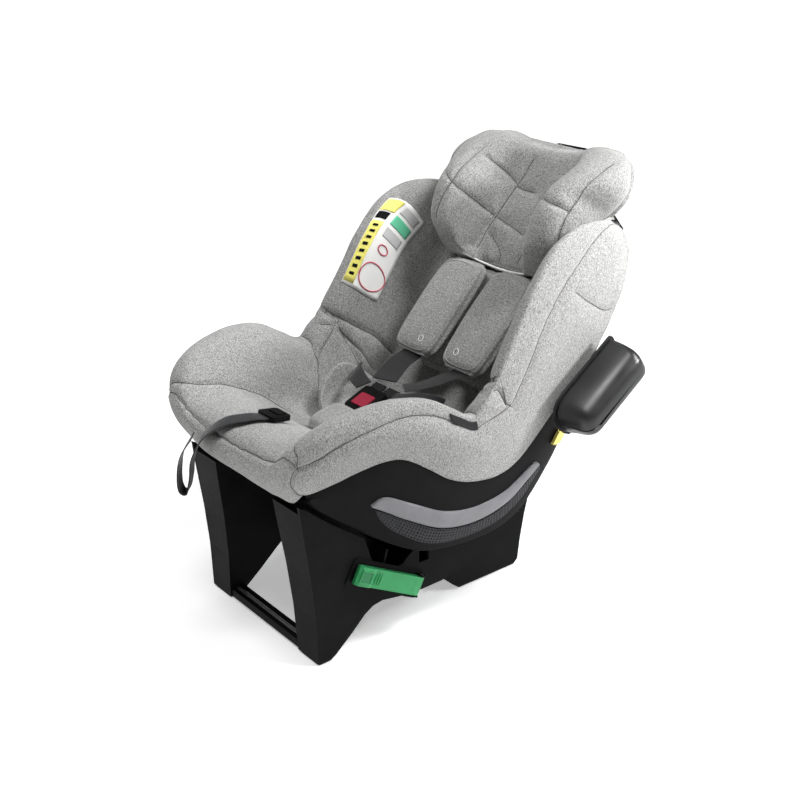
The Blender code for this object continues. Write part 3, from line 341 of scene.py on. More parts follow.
class Nodes:
    """Short calls for building one material's nodes."""

    def __init__(self, name, roughness, **inputs):
        self.material = bpy.data.materials.new(name)
        self.material.use_nodes = True
        self.tree = self.material.node_tree
        self.shader = self.tree.nodes["Principled BSDF"]
        self.shader.inputs["Roughness"].default_value = roughness
        for key, value in inputs.items():
            self.shader.inputs[key.replace("_", " ")].default_value = value
        self.place = self.add("ShaderNodeTexCoord").outputs["Object"]

    def add(self, kind, values=None, links=None, **settings):
        node = self.tree.nodes.new(kind)
        for key, value in settings.items():
            setattr(node, key, value)
        for key, value in (values or {}).items():
            node.inputs[key].default_value = value
        for key, socket in (links or {}).items():
            self.tree.links.new(socket, node.inputs[key])
        return node

    def noise(self, scale, detail=2.0, roughness=0.5, place=None):
        return self.add("ShaderNodeTexNoise", {"Scale": scale, "Detail": detail, "Roughness": roughness},
                        {"Vector": place or self.place}).outputs["Fac"]

    def threads(self, scale, roughness=0.6):
        """Noise drawn out along one way, by its scale each way."""
        place = self.add("ShaderNodeMapping", {"Scale": scale}, {"Vector": self.place}).outputs["Vector"]
        return self.noise(1.0, 2.0, roughness, place)

    def cells(self, scale):
        node = self.add("ShaderNodeTexVoronoi", {"Scale": scale}, {"Vector": self.place})
        return node.outputs["Distance"]

    def wave(self, scale, distortion, detail, direction):
        """Regular ribs in the piece's own UVs."""
        place = self.add("ShaderNodeTexCoord").outputs["UV"]
        values = {"Scale": scale, "Distortion": distortion, "Detail": detail}
        node = self.add("ShaderNodeTexWave", values, {"Vector": place}, bands_direction=direction)
        return node.outputs["Fac"]

    def ramp(self, socket, *stops):
        """A colour for each level: each stop is a position and a colour or a grey."""
        node = self.add("ShaderNodeValToRGB", links={"Fac": socket})
        ramp = node.color_ramp
        while len(ramp.elements) < len(stops):
            ramp.elements.new(0.5)
        for element, (position, colour) in zip(ramp.elements, stops):
            element.position = position
            element.color = (*np.broadcast_to(colour, 3), 1.0)
        return node.outputs["Color"]

    def math(self, operation, first, second):
        node = self.add("ShaderNodeMath", operation=operation)
        for key, value in enumerate((first, second)):
            if hasattr(value, "default_value"):
                self.tree.links.new(value, node.inputs[key])
            else:
                node.inputs[key].default_value = value
        return node.outputs[0]

    def blend(self, first, share, second, other_share):
        """The weighted sum of two levels."""
        second = self.math("MULTIPLY", second, other_share)
        return self.math("ADD", self.math("MULTIPLY", first, share), second)

    def finish(self, colour=None, bump=None, strength=0.3, distance=0.0005, roughness=None):
        if colour is not None:
            self.tree.links.new(colour, self.shader.inputs["Base Color"])
        if roughness is not None:
            self.tree.links.new(roughness, self.shader.inputs["Roughness"])
        if bump is not None:
            values = {"Strength": strength, "Distance": distance}
            node = self.add("ShaderNodeBump", values, {"Height": bump})
            self.tree.links.new(node.outputs["Normal"], self.shader.inputs["Normal"])
        return self.material


def shade(colour, factor):
    """A colour made darker or lighter."""
    return [c * factor for c in colour]


def melange(name, dark, light):
    """Woven two-tone yarn: fine dark and light flecks with slubs both ways."""
    n = Nodes(name, 0.92, Sheen_Weight=0.25, Sheen_Roughness=0.5, Specular_IOR_Level=0.25)
    fleck = n.noise(580.0, 3.0, 0.75)
    slub = n.blend(n.threads((900.0, 900.0, 170.0)), 0.5, n.threads((170.0, 900.0, 900.0)), 0.5)
    middle = [0.5 * (a + b) for a, b in zip(dark, light)]
    tone = n.ramp(n.blend(fleck, 0.55, slub, 0.45), (0.38, dark), (0.5, middle), (0.61, light))
    cloud = n.ramp(n.noise(38.0, 3.0, 0.6), (0.25, 0.90), (0.75, 1.0))
    shaded = n.add("ShaderNodeMix", {0: 1.0}, {6: tone, 7: cloud}, data_type="RGBA", blend_type="MULTIPLY")
    return n.finish(shaded.outputs[2], n.blend(n.cells(820.0), 1.0, fleck, 0.7), 0.55, 0.0006)


def moulded(name, colour, roughness=0.5, grain=0.12, specular=0.4):
    """Fine-textured moulded plastic with slight wear in its gloss."""
    n = Nodes(name, roughness, Specular_IOR_Level=specular)
    cloud = n.noise(22.0, 4.0, 0.65)
    tint = n.ramp(cloud, (0.3, shade(colour, 0.85)), (0.7, [min(1.0, c * 1.15 + 0.002) for c in colour]))
    gloss = n.ramp(cloud, (0.3, roughness - 0.06), (0.7, roughness + 0.06))
    return n.finish(tint, n.noise(2600.0, 2.0, 0.6), grain, 0.0003, gloss)


def metal(name, colour, roughness):
    """Bare or coated steel, brushed along X."""
    n = Nodes(name, roughness, Metallic=1.0)
    brushed = n.threads((60.0, 1500.0, 1500.0), 0.5)
    gloss = n.ramp(brushed, (0.3, roughness - 0.08), (0.7, roughness + 0.08))
    tint = n.ramp(brushed, (0.2, shade(colour, 0.85)), (0.8, colour))
    return n.finish(tint, brushed, 0.08, 0.0002, gloss)


def woven_strap(name, colour):
    """Webbing: ribs and a fine twill, from the strap's own UVs in metres."""
    n = Nodes(name, 0.62, Sheen_Weight=0.3, Sheen_Roughness=0.4, Specular_IOR_Level=0.35)
    height = n.blend(n.wave(210.0, 0.3, 1.0, "X"), 0.5, n.wave(300.0, 0.2, 2.0, "DIAGONAL"), 0.5)
    tint = n.ramp(height, (0.2, shade(colour, 0.55)), (0.8, shade(colour, 1.5)))
    return n.finish(tint, height, 0.5, 0.0004)


def plain(name, colour, roughness=0.7):
    """Printed or dyed cloth of one colour, with a fine satin weave."""
    n = Nodes(name, roughness, Specular_IOR_Level=0.3)
    weave = n.noise(1900.0, 2.0, 0.6)
    return n.finish(n.ramp(weave, (0.3, shade(colour, 0.92)), (0.7, colour)), weave, 0.15, 0.0002)


FABRIC = melange("melange_fabric", (0.066, 0.066, 0.065), (0.44, 0.44, 0.43))
THREAD = plain("seam_thread", (0.075, 0.075, 0.075), 0.9)
PIPING = plain("piping", (0.30, 0.30, 0.30), 0.85)
LINING = plain("lining", (0.72, 0.72, 0.70), 0.8)
BLACK = moulded("moulded_black", (0.0048, 0.0048, 0.0051), 0.52, 0.14, 0.05)
GRILLE = moulded("grille_black", (0.022, 0.022, 0.026), 0.45, 0.06, 0.3)
SATIN = moulded("satin_black", (0.0085, 0.0085, 0.0090), 0.33, 0.05, 0.50)
RECESS = moulded("recess_black", (0.006, 0.006, 0.006), 0.7, 0.1, 0.2)
TRIM = moulded("satin_grey", (0.165, 0.165, 0.175), 0.42, 0.05, 0.3)
GREEN = moulded("green", (0.022, 0.235, 0.075), 0.38, 0.06, 0.3)
YELLOW = moulded("yellow", (0.74, 0.62, 0.14), 0.4, 0.06)
RED = moulded("red", (0.26, 0.018, 0.04), 0.35, 0.05)
RUBBER = moulded("rubber", (0.012, 0.012, 0.012), 0.85, 0.3, 0.2)
FOAM = moulded("foam", (0.05, 0.05, 0.055), 0.9, 0.4, 0.1)
PRINT_WHITE = plain("print_white", (0.78, 0.78, 0.76), 0.55)
PRINT_YELLOW = plain("print_yellow", (0.74, 0.68, 0.16), 0.55)
PRINT_GREEN = plain("print_green", (0.12, 0.50, 0.30), 0.55)
PRINT_RED = plain("print_red", (0.50, 0.06, 0.10), 0.55)
PRINT_GREY = plain("print_grey", (0.48, 0.48, 0.48), 0.6)
TAG = plain("tag_cloth", (0.010, 0.010, 0.011), 0.7)
# Darker green as painted shade, for the inside of each clip's finger hollow and its two dimples.
SHADED_GREEN = moulded("green_painted_shade", (0.010, 0.14, 0.045), 0.5, 0.06)
STEEL = metal("steel", (0.55, 0.55, 0.56), 0.34)
DARK_STEEL = metal("coated_steel", (0.06, 0.06, 0.065), 0.42)
WEBBING = woven_strap("webbing", (0.0065, 0.0065, 0.0080))


# ---- pieces


def part(piece, body, slot, *nodes):
    """A new piece rides on a body and stands for CAD nodes."""
    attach(piece, body)
    if nodes:
        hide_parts(*nodes)
    return piece


def paint(finish, *names):
    """A textured material for CAD nodes that stay."""
    for name in names:
        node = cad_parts[name]
        node.data.materials.clear()
        node.data.materials.append(finish)


def soften(width, *names):
    """Small rounds on the edges of CAD nodes that stay."""
    for name in names:
        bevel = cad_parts[name].modifiers.new("edge", "BEVEL")
        bevel.width = width * MM
        bevel.segments = 2
        bevel.limit_method = "ANGLE"
        bevel.angle_limit = math.radians(35)
        bevel.harden_normals = True


# The crescent trim and the grille on the shell's sides, as (y, z) lines.
TRIM_UPPER = ((75, 236), (92, 245), (130, 227), (183, 200), (238, 189), (294, 195), (332, 212), (356, 220),
              (366, 216))
TRIM_LOWER = ((77, 231), (99, 218), (128, 200), (186, 171), (248, 162), (304, 173), (344, 195), (360, 204),
              (368, 211))
GRILLE_UPPER = ((80, 227), (99, 216), (128, 198), (186, 169), (248, 160), (304, 171), (344, 193),
                (361, 203), (371, 210))
GRILLE_LOWER = ((82, 224), (93, 205), (116, 182), (168, 151), (232, 141), (292, 147), (332, 164),
                (354, 182), (374, 203))

# Seams of the covers as (station, column) points, on the right; each has a twin on the left. A station is a
# row of STATIONS, and a column is a control point of its section, from 0 in the middle to 9 at the hem.
ARM_INNER = ((2.0, 5.9), (2.5, 5.0), (3.0, 3.8), (3.9, 2.8), (5.0, 2.35), (5.8, 2.2), (6.6, 2.1),
             (7.3, 1.7), (7.6, 1.1))
ARM_OUTER = ((2.0, 5.9), (2.4, 6.4), (3.0, 6.6), (3.9, 6.6), (4.6, 6.6), (5.6, 6.4), (6.5, 6.3),
             (7.5, 6.35), (8.6, 6.3), (9.5, 6.4), (10.5, 6.7), (11.3, 7.0))
WING_OUTER = ((11.3, 7.0), (11.8, 6.9), (12.4, 6.8), (13.0, 6.7), (13.7, 6.6), (14.4, 6.5), (15.2, 6.3),
              (16.0, 6.0), (16.9, 5.6))
BIB = ((2.0, 5.9), (2.2, 4.6), (2.4, 3.1), (2.6, 2.0), (2.5, 0.9), (2.4, 0.0))
CORNER = ((2.0, 5.9), (1.6, 5.8), (1.2, 5.8), (0.9, 6.2), (0.5, 7.3), (0.2, 8.6))
VALLEY = ((9.3, 5.0), (9.4, 4.3), (9.4, 3.8), (9.3, 3.4), (9.1, 2.8), (8.8, 2.2), (8.6, 1.6))
BOLSTER = ((10.9, 4.9), (10.95, 4.4), (11.1, 4.0), (11.3, 3.7), (11.6, 3.3), (12.0, 2.8), (12.3, 2.2))
JUNCTION = ((10.6, 5.5), (10.8, 5.8), (10.9, 6.3), (11.0, 6.7), (11.3, 7.1))
QUILT_A = ((11.1, 3.9), (10.4, 3.8), (9.5, 3.6))
QUILT_B = ((10.9, 3.75), (11.1, 3.3), (11.3, 2.9), (11.4, 2.4))
QUILT_C = ((10.4, 4.4), (10.6, 4.2), (10.9, 3.9))
CREASE = ((14.3, 6.9), (14.6, 7.3), (15.0, 7.8), (15.5, 8.6))
MAIN_SEAMS = (ARM_INNER, ARM_OUTER, WING_OUTER, BIB, CORNER, VALLEY, BOLSTER, JUNCTION)
QUILTING = (QUILT_A, QUILT_B, QUILT_C, CREASE)
COVER_EDGE = 9.0      # the column at the covers' hem
SMOOTHING = 24        # passes over a seam's thread
SHORTEST_RUN = 12     # points in the shortest stretch of thread


def swell(distance, height, reach, power=1.5):
    """How far a padded panel rises at a distance from its nearest seam."""
    return height * (1.0 - np.exp(-(distance / reach) ** power))


def groove(distance, depth, width):
    """How far a seam presses the cloth in at a distance from it."""
    return depth * np.exp(-(distance / width) ** 2)


SIDE_HEM = ((2.4, 1.4), (3.0, 4.0), (1.4, 6.4), (-6.0, 7.0))   # (outward, inward) steps of a turned hem
END_HEM = ((1.0, 1.0), (1.2, 3.0), (-2.0, 5.0))


def turned(line, inner, normal, hem):
    """Copies of an edge line, stepped round a hem."""
    away = unit(line - inner)
    return [line + away * a - normal * b for a, b in hem]


def rolled(grid, normals):
    """The hems turned under along both sides of a grid."""
    right = turned(grid[:, -1], grid[:, -3], normals[:, -1], SIDE_HEM)
    left = turned(grid[:, 0], grid[:, 2], normals[:, 0], SIDE_HEM)
    return np.concatenate([np.stack(left[::-1], 1), grid, np.stack(right, 1)], 1)


def tucked(grid, normals):
    """Both ends of a grid turned under."""
    first = turned(grid[0], grid[2], normals[0], END_HEM)
    last = turned(grid[-1], grid[-3], normals[-1], END_HEM)
    return np.concatenate([first[::-1], grid, last])


def surface_tree(grid, wrap=False):
    """A search tree of a grid's faces, for laying lines on it."""
    return BVHTree.FromPolygons([Vector(p) for p in grid.reshape(-1, 3)], grid_faces(*grid.shape[:2], wrap))


def laid_on(tree, line, lift=0.1, reach=7.0):
    """The parts of a line that lie near a surface, moved onto it and smoothed."""
    runs = [[]]
    for p in line:
        place, _, _, distance = tree.find_nearest(Vector(p))
        if distance > reach:
            runs.append([])
        else:
            runs[-1].append(place)
    laid = []
    for run in runs:
        if len(run) < SHORTEST_RUN:
            continue
        run = even(run, 1.0)
        for _ in range(SMOOTHING):
            run[1:-1] = 0.25 * run[:-2] + 0.5 * run[1:-1] + 0.25 * run[2:]
        for i, p in enumerate(run):
            place, normal, _, _ = tree.find_nearest(Vector(p))
            run[i] = place + normal * lift
        laid.append(even(run, 1.8))
    return laid


def make_covers():
    """The seat cover and the back cover over their foam, with every seam pressed in and stitched."""
    columns = np.linspace(-COVER_EDGE, COVER_EDGE, 281)
    lines, deep = [], []
    for seam in MAIN_SEAMS + QUILTING:
        right = cover_line(seam)
        lines += [right, mirrored(right)]
        if seam in MAIN_SEAMS:
            deep += lines[-2:]
    bight = cover_line([(11.0, c) for c in (-4.5, -3.0, -1.5, 0.0, 1.5, 3.0, 4.5)])
    threads, trees = [], {}
    for name, low, high, rows in (("seat_cover", 0.0, 10.99, 250), ("back_cover", 11.01, 17.0, 160)):
        strips = []
        for column in columns:
            # The front hem is cut back towards its corners.
            start = low + (0.36 * (abs(column) / COVER_EDGE) ** 6 if low == 0.0 else 0.0)
            stations = start + (high - start) * np.linspace(0.0, 1.0, rows)
            strips.append(cover_surface(stations, [column])[:, 0])
        grid = np.stack(strips, 1)
        normals = normals_of(grid)
        away = near_line(grid, np.concatenate(lines))
        height = swell(away, 1.8, 24.0) - groove(away, 1.7, 2.6)
        height -= groove(near_line(grid, np.concatenate(deep)), 1.4, 7.0)
        height -= groove(near_line(grid, bight), 3.0, 9.0)
        height += soft_noise(grid, 70.0, 1.3) + soft_noise(grid, 22.0, 0.4, 7.0)
        grid = grid + normals * height[..., None]
        hemmed = rolled(grid, normals_of(grid))
        cover = sheet_mesh(name + "_sewn", tucked(hemmed, normals_of(hemmed)), FABRIC, 180.0)
        part(cover, "base", "fabric", name)
        tree = trees[name] = surface_tree(grid)
        for line in lines:
            threads += laid_on(tree, line)
    part(tube_mesh("cover_seams", threads, 0.5, THREAD, 6), "base", "fabric")
    make_liner()
    make_label(trees["back_cover"])
    make_tag(trees["seat_cover"])


def make_liner():
    """The inner bucket's foam-faced liner, just under the covers."""
    grid = cover_surface(np.linspace(0.9, 16.9, 120), np.linspace(-8.8, 8.8, 121))
    normals = normals_of(grid)
    liner = skin_of("bucket_liner", grid - normals * 6.5, grid - normals * 14.0, FOAM, 60.0)
    part(liner, "base", "foam", "inner_bucket")


def on_cover(tree, place, lift):
    """A point just off a cover at a (station, column) place."""
    near, normal, _, _ = tree.find_nearest(Vector(cover_surface([place[0]], [place[1]])[0, 0]))
    return near + normal * lift


WHOLE_PATCH = ((0.0, 0.0), (1.0, 1.0))


def patch(name, tree, place, corners, lift, finish, count=(20, 28), nodes=()):
    """A thin flexible patch on a cover: place(u, v) gives its station and column."""
    (u0, v0), (u1, v1) = corners
    grid = np.array([[on_cover(tree, place(u, v), lift) for u in np.linspace(u0, u1, count[0])]
                     for v in np.linspace(v0, v1, count[1])])
    for _ in range(4):
        grid[1:-1, 1:-1] = 0.25 * (grid[:-2, 1:-1] + grid[2:, 1:-1] + grid[1:-1, :-2] + grid[1:-1, 2:])
    made = sheet_mesh(name, grid, finish)
    thick = made.modifiers.new("thickness", "SOLIDIFY")
    thick.thickness = 0.6 * MM
    thick.offset = 0.0
    part(made, "base", "label", *nodes)


def notice_place(u, v):
    """Station and column on the left wing, for a place across and up the notice."""
    bow = 0.10 * (1.0 - 2.0 * v) * 4.0 * u * (1.0 - u)
    return 11.85 + 0.62 * u + (2.45 + 0.12 * u) * v - bow, -(4.52 - 1.30 * u)


def make_label(tree):
    """A sewn-in notice on the left wing, kept to plain blocks of colour."""
    patch("notice_field", tree, notice_place, WHOLE_PATCH, 0.7, PRINT_WHITE, nodes=("sewn_label",))
    for name, finish, corners in (("band", PRINT_YELLOW, ((0.02, 0.03), (0.36, 0.66))),
                                  ("top_band", PRINT_YELLOW, ((0.02, 0.80), (0.42, 0.98))),
                                  ("dark_block", BLACK, ((0.05, 0.69), (0.36, 0.78))),
                                  ("green_block", PRINT_GREEN, ((0.50, 0.68), (0.92, 0.80))),
                                  ("grey_block", PRINT_GREY, ((0.50, 0.84), (0.90, 0.95))),
                                  ("frame_block", PRINT_GREY, ((0.50, 0.53), (0.90, 0.64)))):
        patch("notice_" + name, tree, notice_place, corners, 1.25, finish, (12, 12))
    for i in range(8):
        v = 0.10 + 0.07 * i
        patch("notice_bar_%d" % i, tree, notice_place, ((0.12, v), (0.27, v + 0.028)), 1.75, BLACK, (6, 4))
    for name, u, v, size in (("notice_ring", 0.69, 0.16, 0.135), ("notice_small_ring", 0.66, 0.42, 0.05)):
        turns = [2 * math.pi * k / 48 for k in range(48)]
        places = [notice_place(u + 2.2 * size * math.cos(a), v + 0.85 * size * math.sin(a)) for a in turns]
        ring = [on_cover(tree, place, 1.2) for place in places]
        part(tube_mesh(name, [ring], 1.0, PRINT_RED, 6, True), "base", "label")


def make_tag(tree):
    """A blank dark tag in the seam on the right arm."""
    def place(u, v):
        return 7.6 + 1.5 * v, 5.85 + 0.5 * u
    patch("blank_tag", tree, place, WHOLE_PATCH, 1.4, TAG, (10, 20), ("side_tag",))


def shell_half(stations):
    """Control points of the moulded shell's half section."""
    s = catmull(STATIONS, stations)
    under = np.stack([0 * s[:, 13], s[:, 13], s[:, 14]], 1)
    ridge, hem = s[:, 10:13], s[:, 7:10]
    down = unit(ridge - hem)
    inner = 0.35 * ridge + 0.65 * under
    inner[:, 0] = ridge[:, 0] - 26.0
    return np.stack([under, 0.5 * (under + inner), inner, 0.85 * ridge + 0.15 * inner,
                     ridge + (hem - ridge) * 0.06, 0.5 * (ridge + hem) + (2.0, 0, 0),
                     hem + down * 8.0, hem - down * 2.0 - (4.5, 0, 0)], 1)


def make_shell():
    """The moulded outer shell, one smooth form up to and under the covers' hem."""
    grid = both_halves(shell_half(np.linspace(0.35, 16.6, 150)), np.linspace(-7.0, 7.0, 141))
    shell = skin_of("moulded_shell", grid, grid + normals_of(grid) * 3.0, BLACK, 60.0)
    part(shell, "base", "black_plastic", "seat_shell")
    tree = surface_tree(grid)
    for label, side in SIDES:
        make_side_trim(tree, label, side)


def on_shell(tree, side, y, z, lift):
    """A point of the shell's side face at a depth and height."""
    place = tree.ray_cast(Vector((side * 400.0, y, z)), Vector((-side, 0, 0)))[0]
    return np.array(((place.x if place else side * 190.0) + side * lift, y, z))


def side_band(tree, side, upper, lower, rows, columns, lift):
    """A grid on the shell's side between two lines; lift is a function of the place across it."""
    top, bottom = (smooth_line([(0.0,) + p for p in line], 1.0) for line in (upper, lower))
    grid = np.zeros((rows, columns, 3))
    for j, t in enumerate(np.linspace(0, 1, columns)):
        a, b = (line[int(round(t * (len(line) - 1)))] for line in (top, bottom))
        for i, f in enumerate(np.linspace(0, 1, rows)):
            y, z = (b + (a - b) * f)[1:]
            grid[i, j] = on_shell(tree, side, y, z, lift(f))
    return grid


def make_side_trim(tree, label, side):
    """The crowned grey crescent, and below it a perforated grille over a dark recess."""
    def crescent(lift):
        return side_band(tree, side, TRIM_UPPER, TRIM_LOWER, 13, 150, lift)

    def grille(rows, columns, lift):
        return side_band(tree, side, GRILLE_UPPER, GRILLE_LOWER, rows, columns, lambda f: lift)

    crown = crescent(lambda f: 1.2 + 3.2 * (4 * f * (1 - f)) ** 0.5)
    part(skin_of(label + "_crescent", crown, crescent(lambda f: -0.5), TRIM, 50.0), "base", "grey_trim",
         label + "_side_trim")
    part(sheet_mesh(label + "_grille_recess", grille(5, 90, 0.5), RECESS), "base", "black_plastic")
    rows, columns = 6, 62
    lattice = grille(rows, columns, 2.2)
    verts, faces = [], []
    for i in range(rows - 1):
        for j in range(columns - 1):
            cell = np.array([lattice[i, j], lattice[i, j + 1], lattice[i + 1, j + 1], lattice[i + 1, j]])
            middle = cell.mean(0)
            start = len(verts)
            verts += list(cell) + list(middle + (cell - middle) * 0.62)
            for k in range(4):
                m = (k + 1) % 4
                faces.append((start + k, start + m, start + 4 + m, start + 4 + k))
    mesh = new_mesh(label + "_grille_mesh", verts, faces, GRILLE, 30.0)
    mesh.modifiers.new("thickness", "SOLIDIFY").thickness = 1.4 * MM
    part(mesh, "base", "black_plastic", label + "_side_grille")


HEADREST = (   # along, half width, lobe height towards the child, thickness of the middle
    (2, 118, 20, 6), (10, 130, 36, 12), (30, 141, 60, 16), (60, 147, 71, 20), (90, 149, 73, 22),
    (112, 151, 68, 23), (128, 159, 61, 24), (145, 166, 52, 25), (165, 166, 40, 26), (184, 158, 27, 27),
    (198, 146, 14, 24), (206, 126, 0, 14))
HEADREST_BACK = -27.0
HEADREST_SEAMS = (   # (x, along) points on the front face
    ((-99, 168), (-99, 140), (-96, 93), (-101, 66), (-108, 28)),
    ((-26, 172), (-33, 139), (-38, 125), (-50, 76), (-57, 49), (-60, 16)),
    ((-116, 99), (-94, 87), (-50, 70)),
    ((-89, 150), (-62, 140), (-38, 128)),
    ((-36, 124), (-18, 122), (2, 122)),
    ((-48, 71), (-14, 63), (16, 55)),
    ((33, 68), (29, 40), (22, 10)),
    ((-49, 43), (-30, 31), (-17, 18), (-15, 8)),
    ((58, 108), (84, 100), (108, 92), (136, 90)),
)
FAR = 99.0   # a distance beyond any seam's reach
LOBE_SEAM = ((146, 182), (145, 151), (141, 124), (137, 91), (136, 69), (135, 51), (134, 34), (126, 16))


def whole_loop(half, middle):
    """A closed outline from its right half, with its last point on the mid-plane."""
    return list(half) + [(0.0, middle)] + [(-x, other) for x, other in reversed(half[1:])]


def headrest_sections():
    """Outlines across the headrest, whose top edge dips between the lobes."""
    profile = ((0.0, 0.0), (0.28, 0.02), (0.41, 0.10), (0.50, 0.52), (0.60, 0.93), (0.78, 1.0),
               (0.94, 0.74), (1.0, 0.15))
    sections = []
    for along, half, lobe, middle in HEADREST:
        front = middle + HEADREST_BACK + 2.0
        line = [(half * f, front + (lobe - front) * g) for f, g in profile]
        line += [(half * 0.96, HEADREST_BACK + 13.0), (half * 0.84, HEADREST_BACK + 0.5)]
        dip = 9.0 * min(1.0, max(0.0, (along - 150.0) / 45.0))
        sections.append([lean(x, along - dip * max(0.0, 1.0 - (x / (0.72 * half)) ** 2), out)
                         for x, out in whole_loop(line, HEADREST_BACK)])
    return sections


def lean_coordinates(points):
    """(x, along, out) of points."""
    y, z = points[..., 1] - HEADREST_ANCHOR[0], points[..., 2] - HEADREST_ANCHOR[1]
    along = y * math.sin(LEAN) + z * math.cos(LEAN)
    out = -y * math.cos(LEAN) + z * math.sin(LEAN)
    return np.stack([points[..., 0], along, out], -1)


def on_pad(tree, point, start=0.0, lift=0.0):
    """The place on a pad's face straight behind a point, or None."""
    place = tree.ray_cast(Vector(point) + OUTWARD * start, -OUTWARD)[0]
    return None if place is None else place + OUTWARD * lift


def make_headrest():
    """The headrest's padded cover, quilted in diamonds, with a seam round each lobe."""
    grid = loft(headrest_sections(), 92, 190, 7.0)
    place = lean_coordinates(grid)
    flat = place * (1, 1, 0)
    quilt = [smooth_line([(x, a, 0) for x, a in line], 1.0) for line in HEADREST_SEAMS]
    lobes = [smooth_line([(x * side, a, 0) for x, a in LOBE_SEAM], 1.0) for _, side in SIDES]
    front = place[..., 2] > HEADREST_BACK + 9.0
    away, away_lobe = (np.where(front, near_line(flat, np.concatenate(lines)), FAR)
                       for lines in (quilt, lobes))
    height = swell(np.minimum(away, away_lobe), 3.0, 20.0, 1.4) - groove(away, 2.6, 3.4)
    height += soft_noise(grid, 45.0, 1.2, 3.0) - 1.2 - groove(away_lobe, 1.6, 3.0)
    grid = grid + outward_normals(grid) * height[..., None]
    pad = loft_object("headrest_cover", grid, FABRIC, 180.0)
    part(pad, "headrest", "fabric", "headrest_pad")
    tree = surface_tree(grid, True)
    threads = []
    for line in quilt + lobes:
        places = [on_pad(tree, lean(x, along, 120.0)) for x, along, _ in line]
        threads += laid_on(tree, [p for p in places if p is not None])
    part(tube_mesh("headrest_seams", threads, 0.6, THREAD, 6), "headrest", "fabric")
    right = ((0, -4, -13), (30, -3, -12), (62, -1, -4), (90, 3, 16), (106, 14, 34))
    edge = [(-x, along, out) for x, along, out in reversed(right[1:])] + list(right)
    edge = smooth_line([lean(*p) for p in edge], 3.0)
    part(tube_mesh("headrest_edge_lining", [edge], 2.0, LINING, 8), "headrest", "fabric")


def stitched_pad(name, sections, rows, around, dome, node, noise_amount=0.8):
    """A padded piece lofted through sections, and a search tree of its faces."""
    grid = loft(sections, rows, around, dome)
    grid = grid + outward_normals(grid) * soft_noise(grid, 30.0, noise_amount, 5.0)[..., None]
    pad = loft_object(name, grid, FABRIC, 180.0)
    part(pad, "base", "fabric", node)
    return surface_tree(grid, True)


def make_insert():
    """The removable insert: a back pad, and a seat pad with raised hip wings."""
    sections = []
    for along, half, front in ((-178, 84, -16), (-170, 94, -10), (-120, 100, -8), (-60, 100, -8),
                               (-22, 92, -10), (-12, 80, -16)):
        line = ((0.0, front), (0.6 * half, front - 1), (0.86 * half, front - 2), (0.97 * half, front - 9),
                (half, -24.0), (0.92 * half, -31.0), (0.6 * half, -34.4))
        sections.append([lean(x, along, out) for x, out in whole_loop(line, -34.4)])
    stitched_pad("insert_back_cushion", sections, 60, 120, 4.0, "insert_back_pad")
    edge = ((86, -172, -10), (94, -120, -9), (94, -60, -9), (86, -22, -11))
    rim = [smooth_line([lean(side * x, along, out) for x, along, out in edge], 2.0) for _, side in SIDES]
    part(tube_mesh("insert_piping", rim, 1.6, PIPING, 8), "base", "fabric")
    sections = []
    for y, low, thick, half, wing in ((164, 250.3, 10, 60, 6), (178, 246.2, 17, 92, 16),
                                      (200, 242.2, 20, 106, 38), (228, 238.4, 21, 111, 54),
                                      (256, 236.2, 21, 111, 48), (284, 236.6, 20, 106, 26),
                                      (302, 238.2, 16, 96, 12)):
        top = low + thick
        line = ((0.0, top), (0.70 * half, top), (0.86 * half, top + 0.35 * wing), (0.94 * half, top + wing),
                (half, top + 0.96 * wing), (1.02 * half, top + 0.4 * wing), (half, low + 15.0),
                (0.86 * half, low + 5.0), (0.6 * half, low + 0.5))
        sections.append([(x, y, z) for x, z in whole_loop(line, low)])
    stitched_pad("insert_seat_cushion", sections, 60, 140, 3.0, "insert_seat_pad")


def crowned_loop(half, base, thick, wall, inset, crown):
    """A pad's outline: flat below, with upright sides and a crowned top."""
    right = [(inset * half, base + crown * thick), (half, base + wall * thick), (half, base)]
    return [(-x, h) for x, h in reversed(right)] + [(0.0, base + thick)] + right + [(0.0, base)]


def make_shoulder_pads():
    """Padded sleeves over the shoulder webbing, with a piped border and an eyelet."""
    centre = 54.0
    sections = []
    for along, half, thick, lift in ((-11, 30, 8, 0.0), (-20, 40, 15, 0.0), (-60, 44, 18, 6.8),
                                     (-120, 44, 18, 17.8), (-160, 41, 15, 26.0), (-171, 32, 8, 28.4)):
        loop = crowned_loop(half, lift + 1.6, thick, 0.45, 0.84, 0.86)
        sections.append([lean(centre + x, along, out) for x, out in loop])
    left = ((-34, -26), (-37, -60), (-38, -120), (-36, -154), (-26, -166))
    right = [(-x, along) for x, along in reversed(left)]
    border = [*left, (0, -169), *right, (20, -17), (0, -15), (-20, -17)]
    border = np.array([lean(centre + x, along, 16.0 - 0.19 * along) for x, along in border])
    for label, side in SIDES:
        tree = stitched_pad(label + "_shoulder_cushion", np.array(sections) * (side, 1, 1), 56, 72, 3.0,
                            label + "_shoulder_pad", 0.5)
        places = [on_pad(tree, p, 30.0, 0.2) for p in smooth_line(border * (side, 1, 1), 1.5, True)]
        places = [p for p in places if p is not None]
        part(tube_mesh(label + "_shoulder_piping", [places], 0.8, PIPING, 8, True), "base", "fabric")
        middle = np.array(on_pad(tree, lean(side * (centre - 14.0), -150.0, 40.0), 30.0))
        ring = [middle + (lean(math.cos(t), math.sin(t), 0.0) - lean(0.0, 0.0, 0.0)) * 4.6
                for t in np.linspace(0, 2 * math.pi, 25)[:-1]]
        part(tube_mesh(label + "_shoulder_eyelet", [ring], 0.7, LINING, 8, True), "base", "fabric")


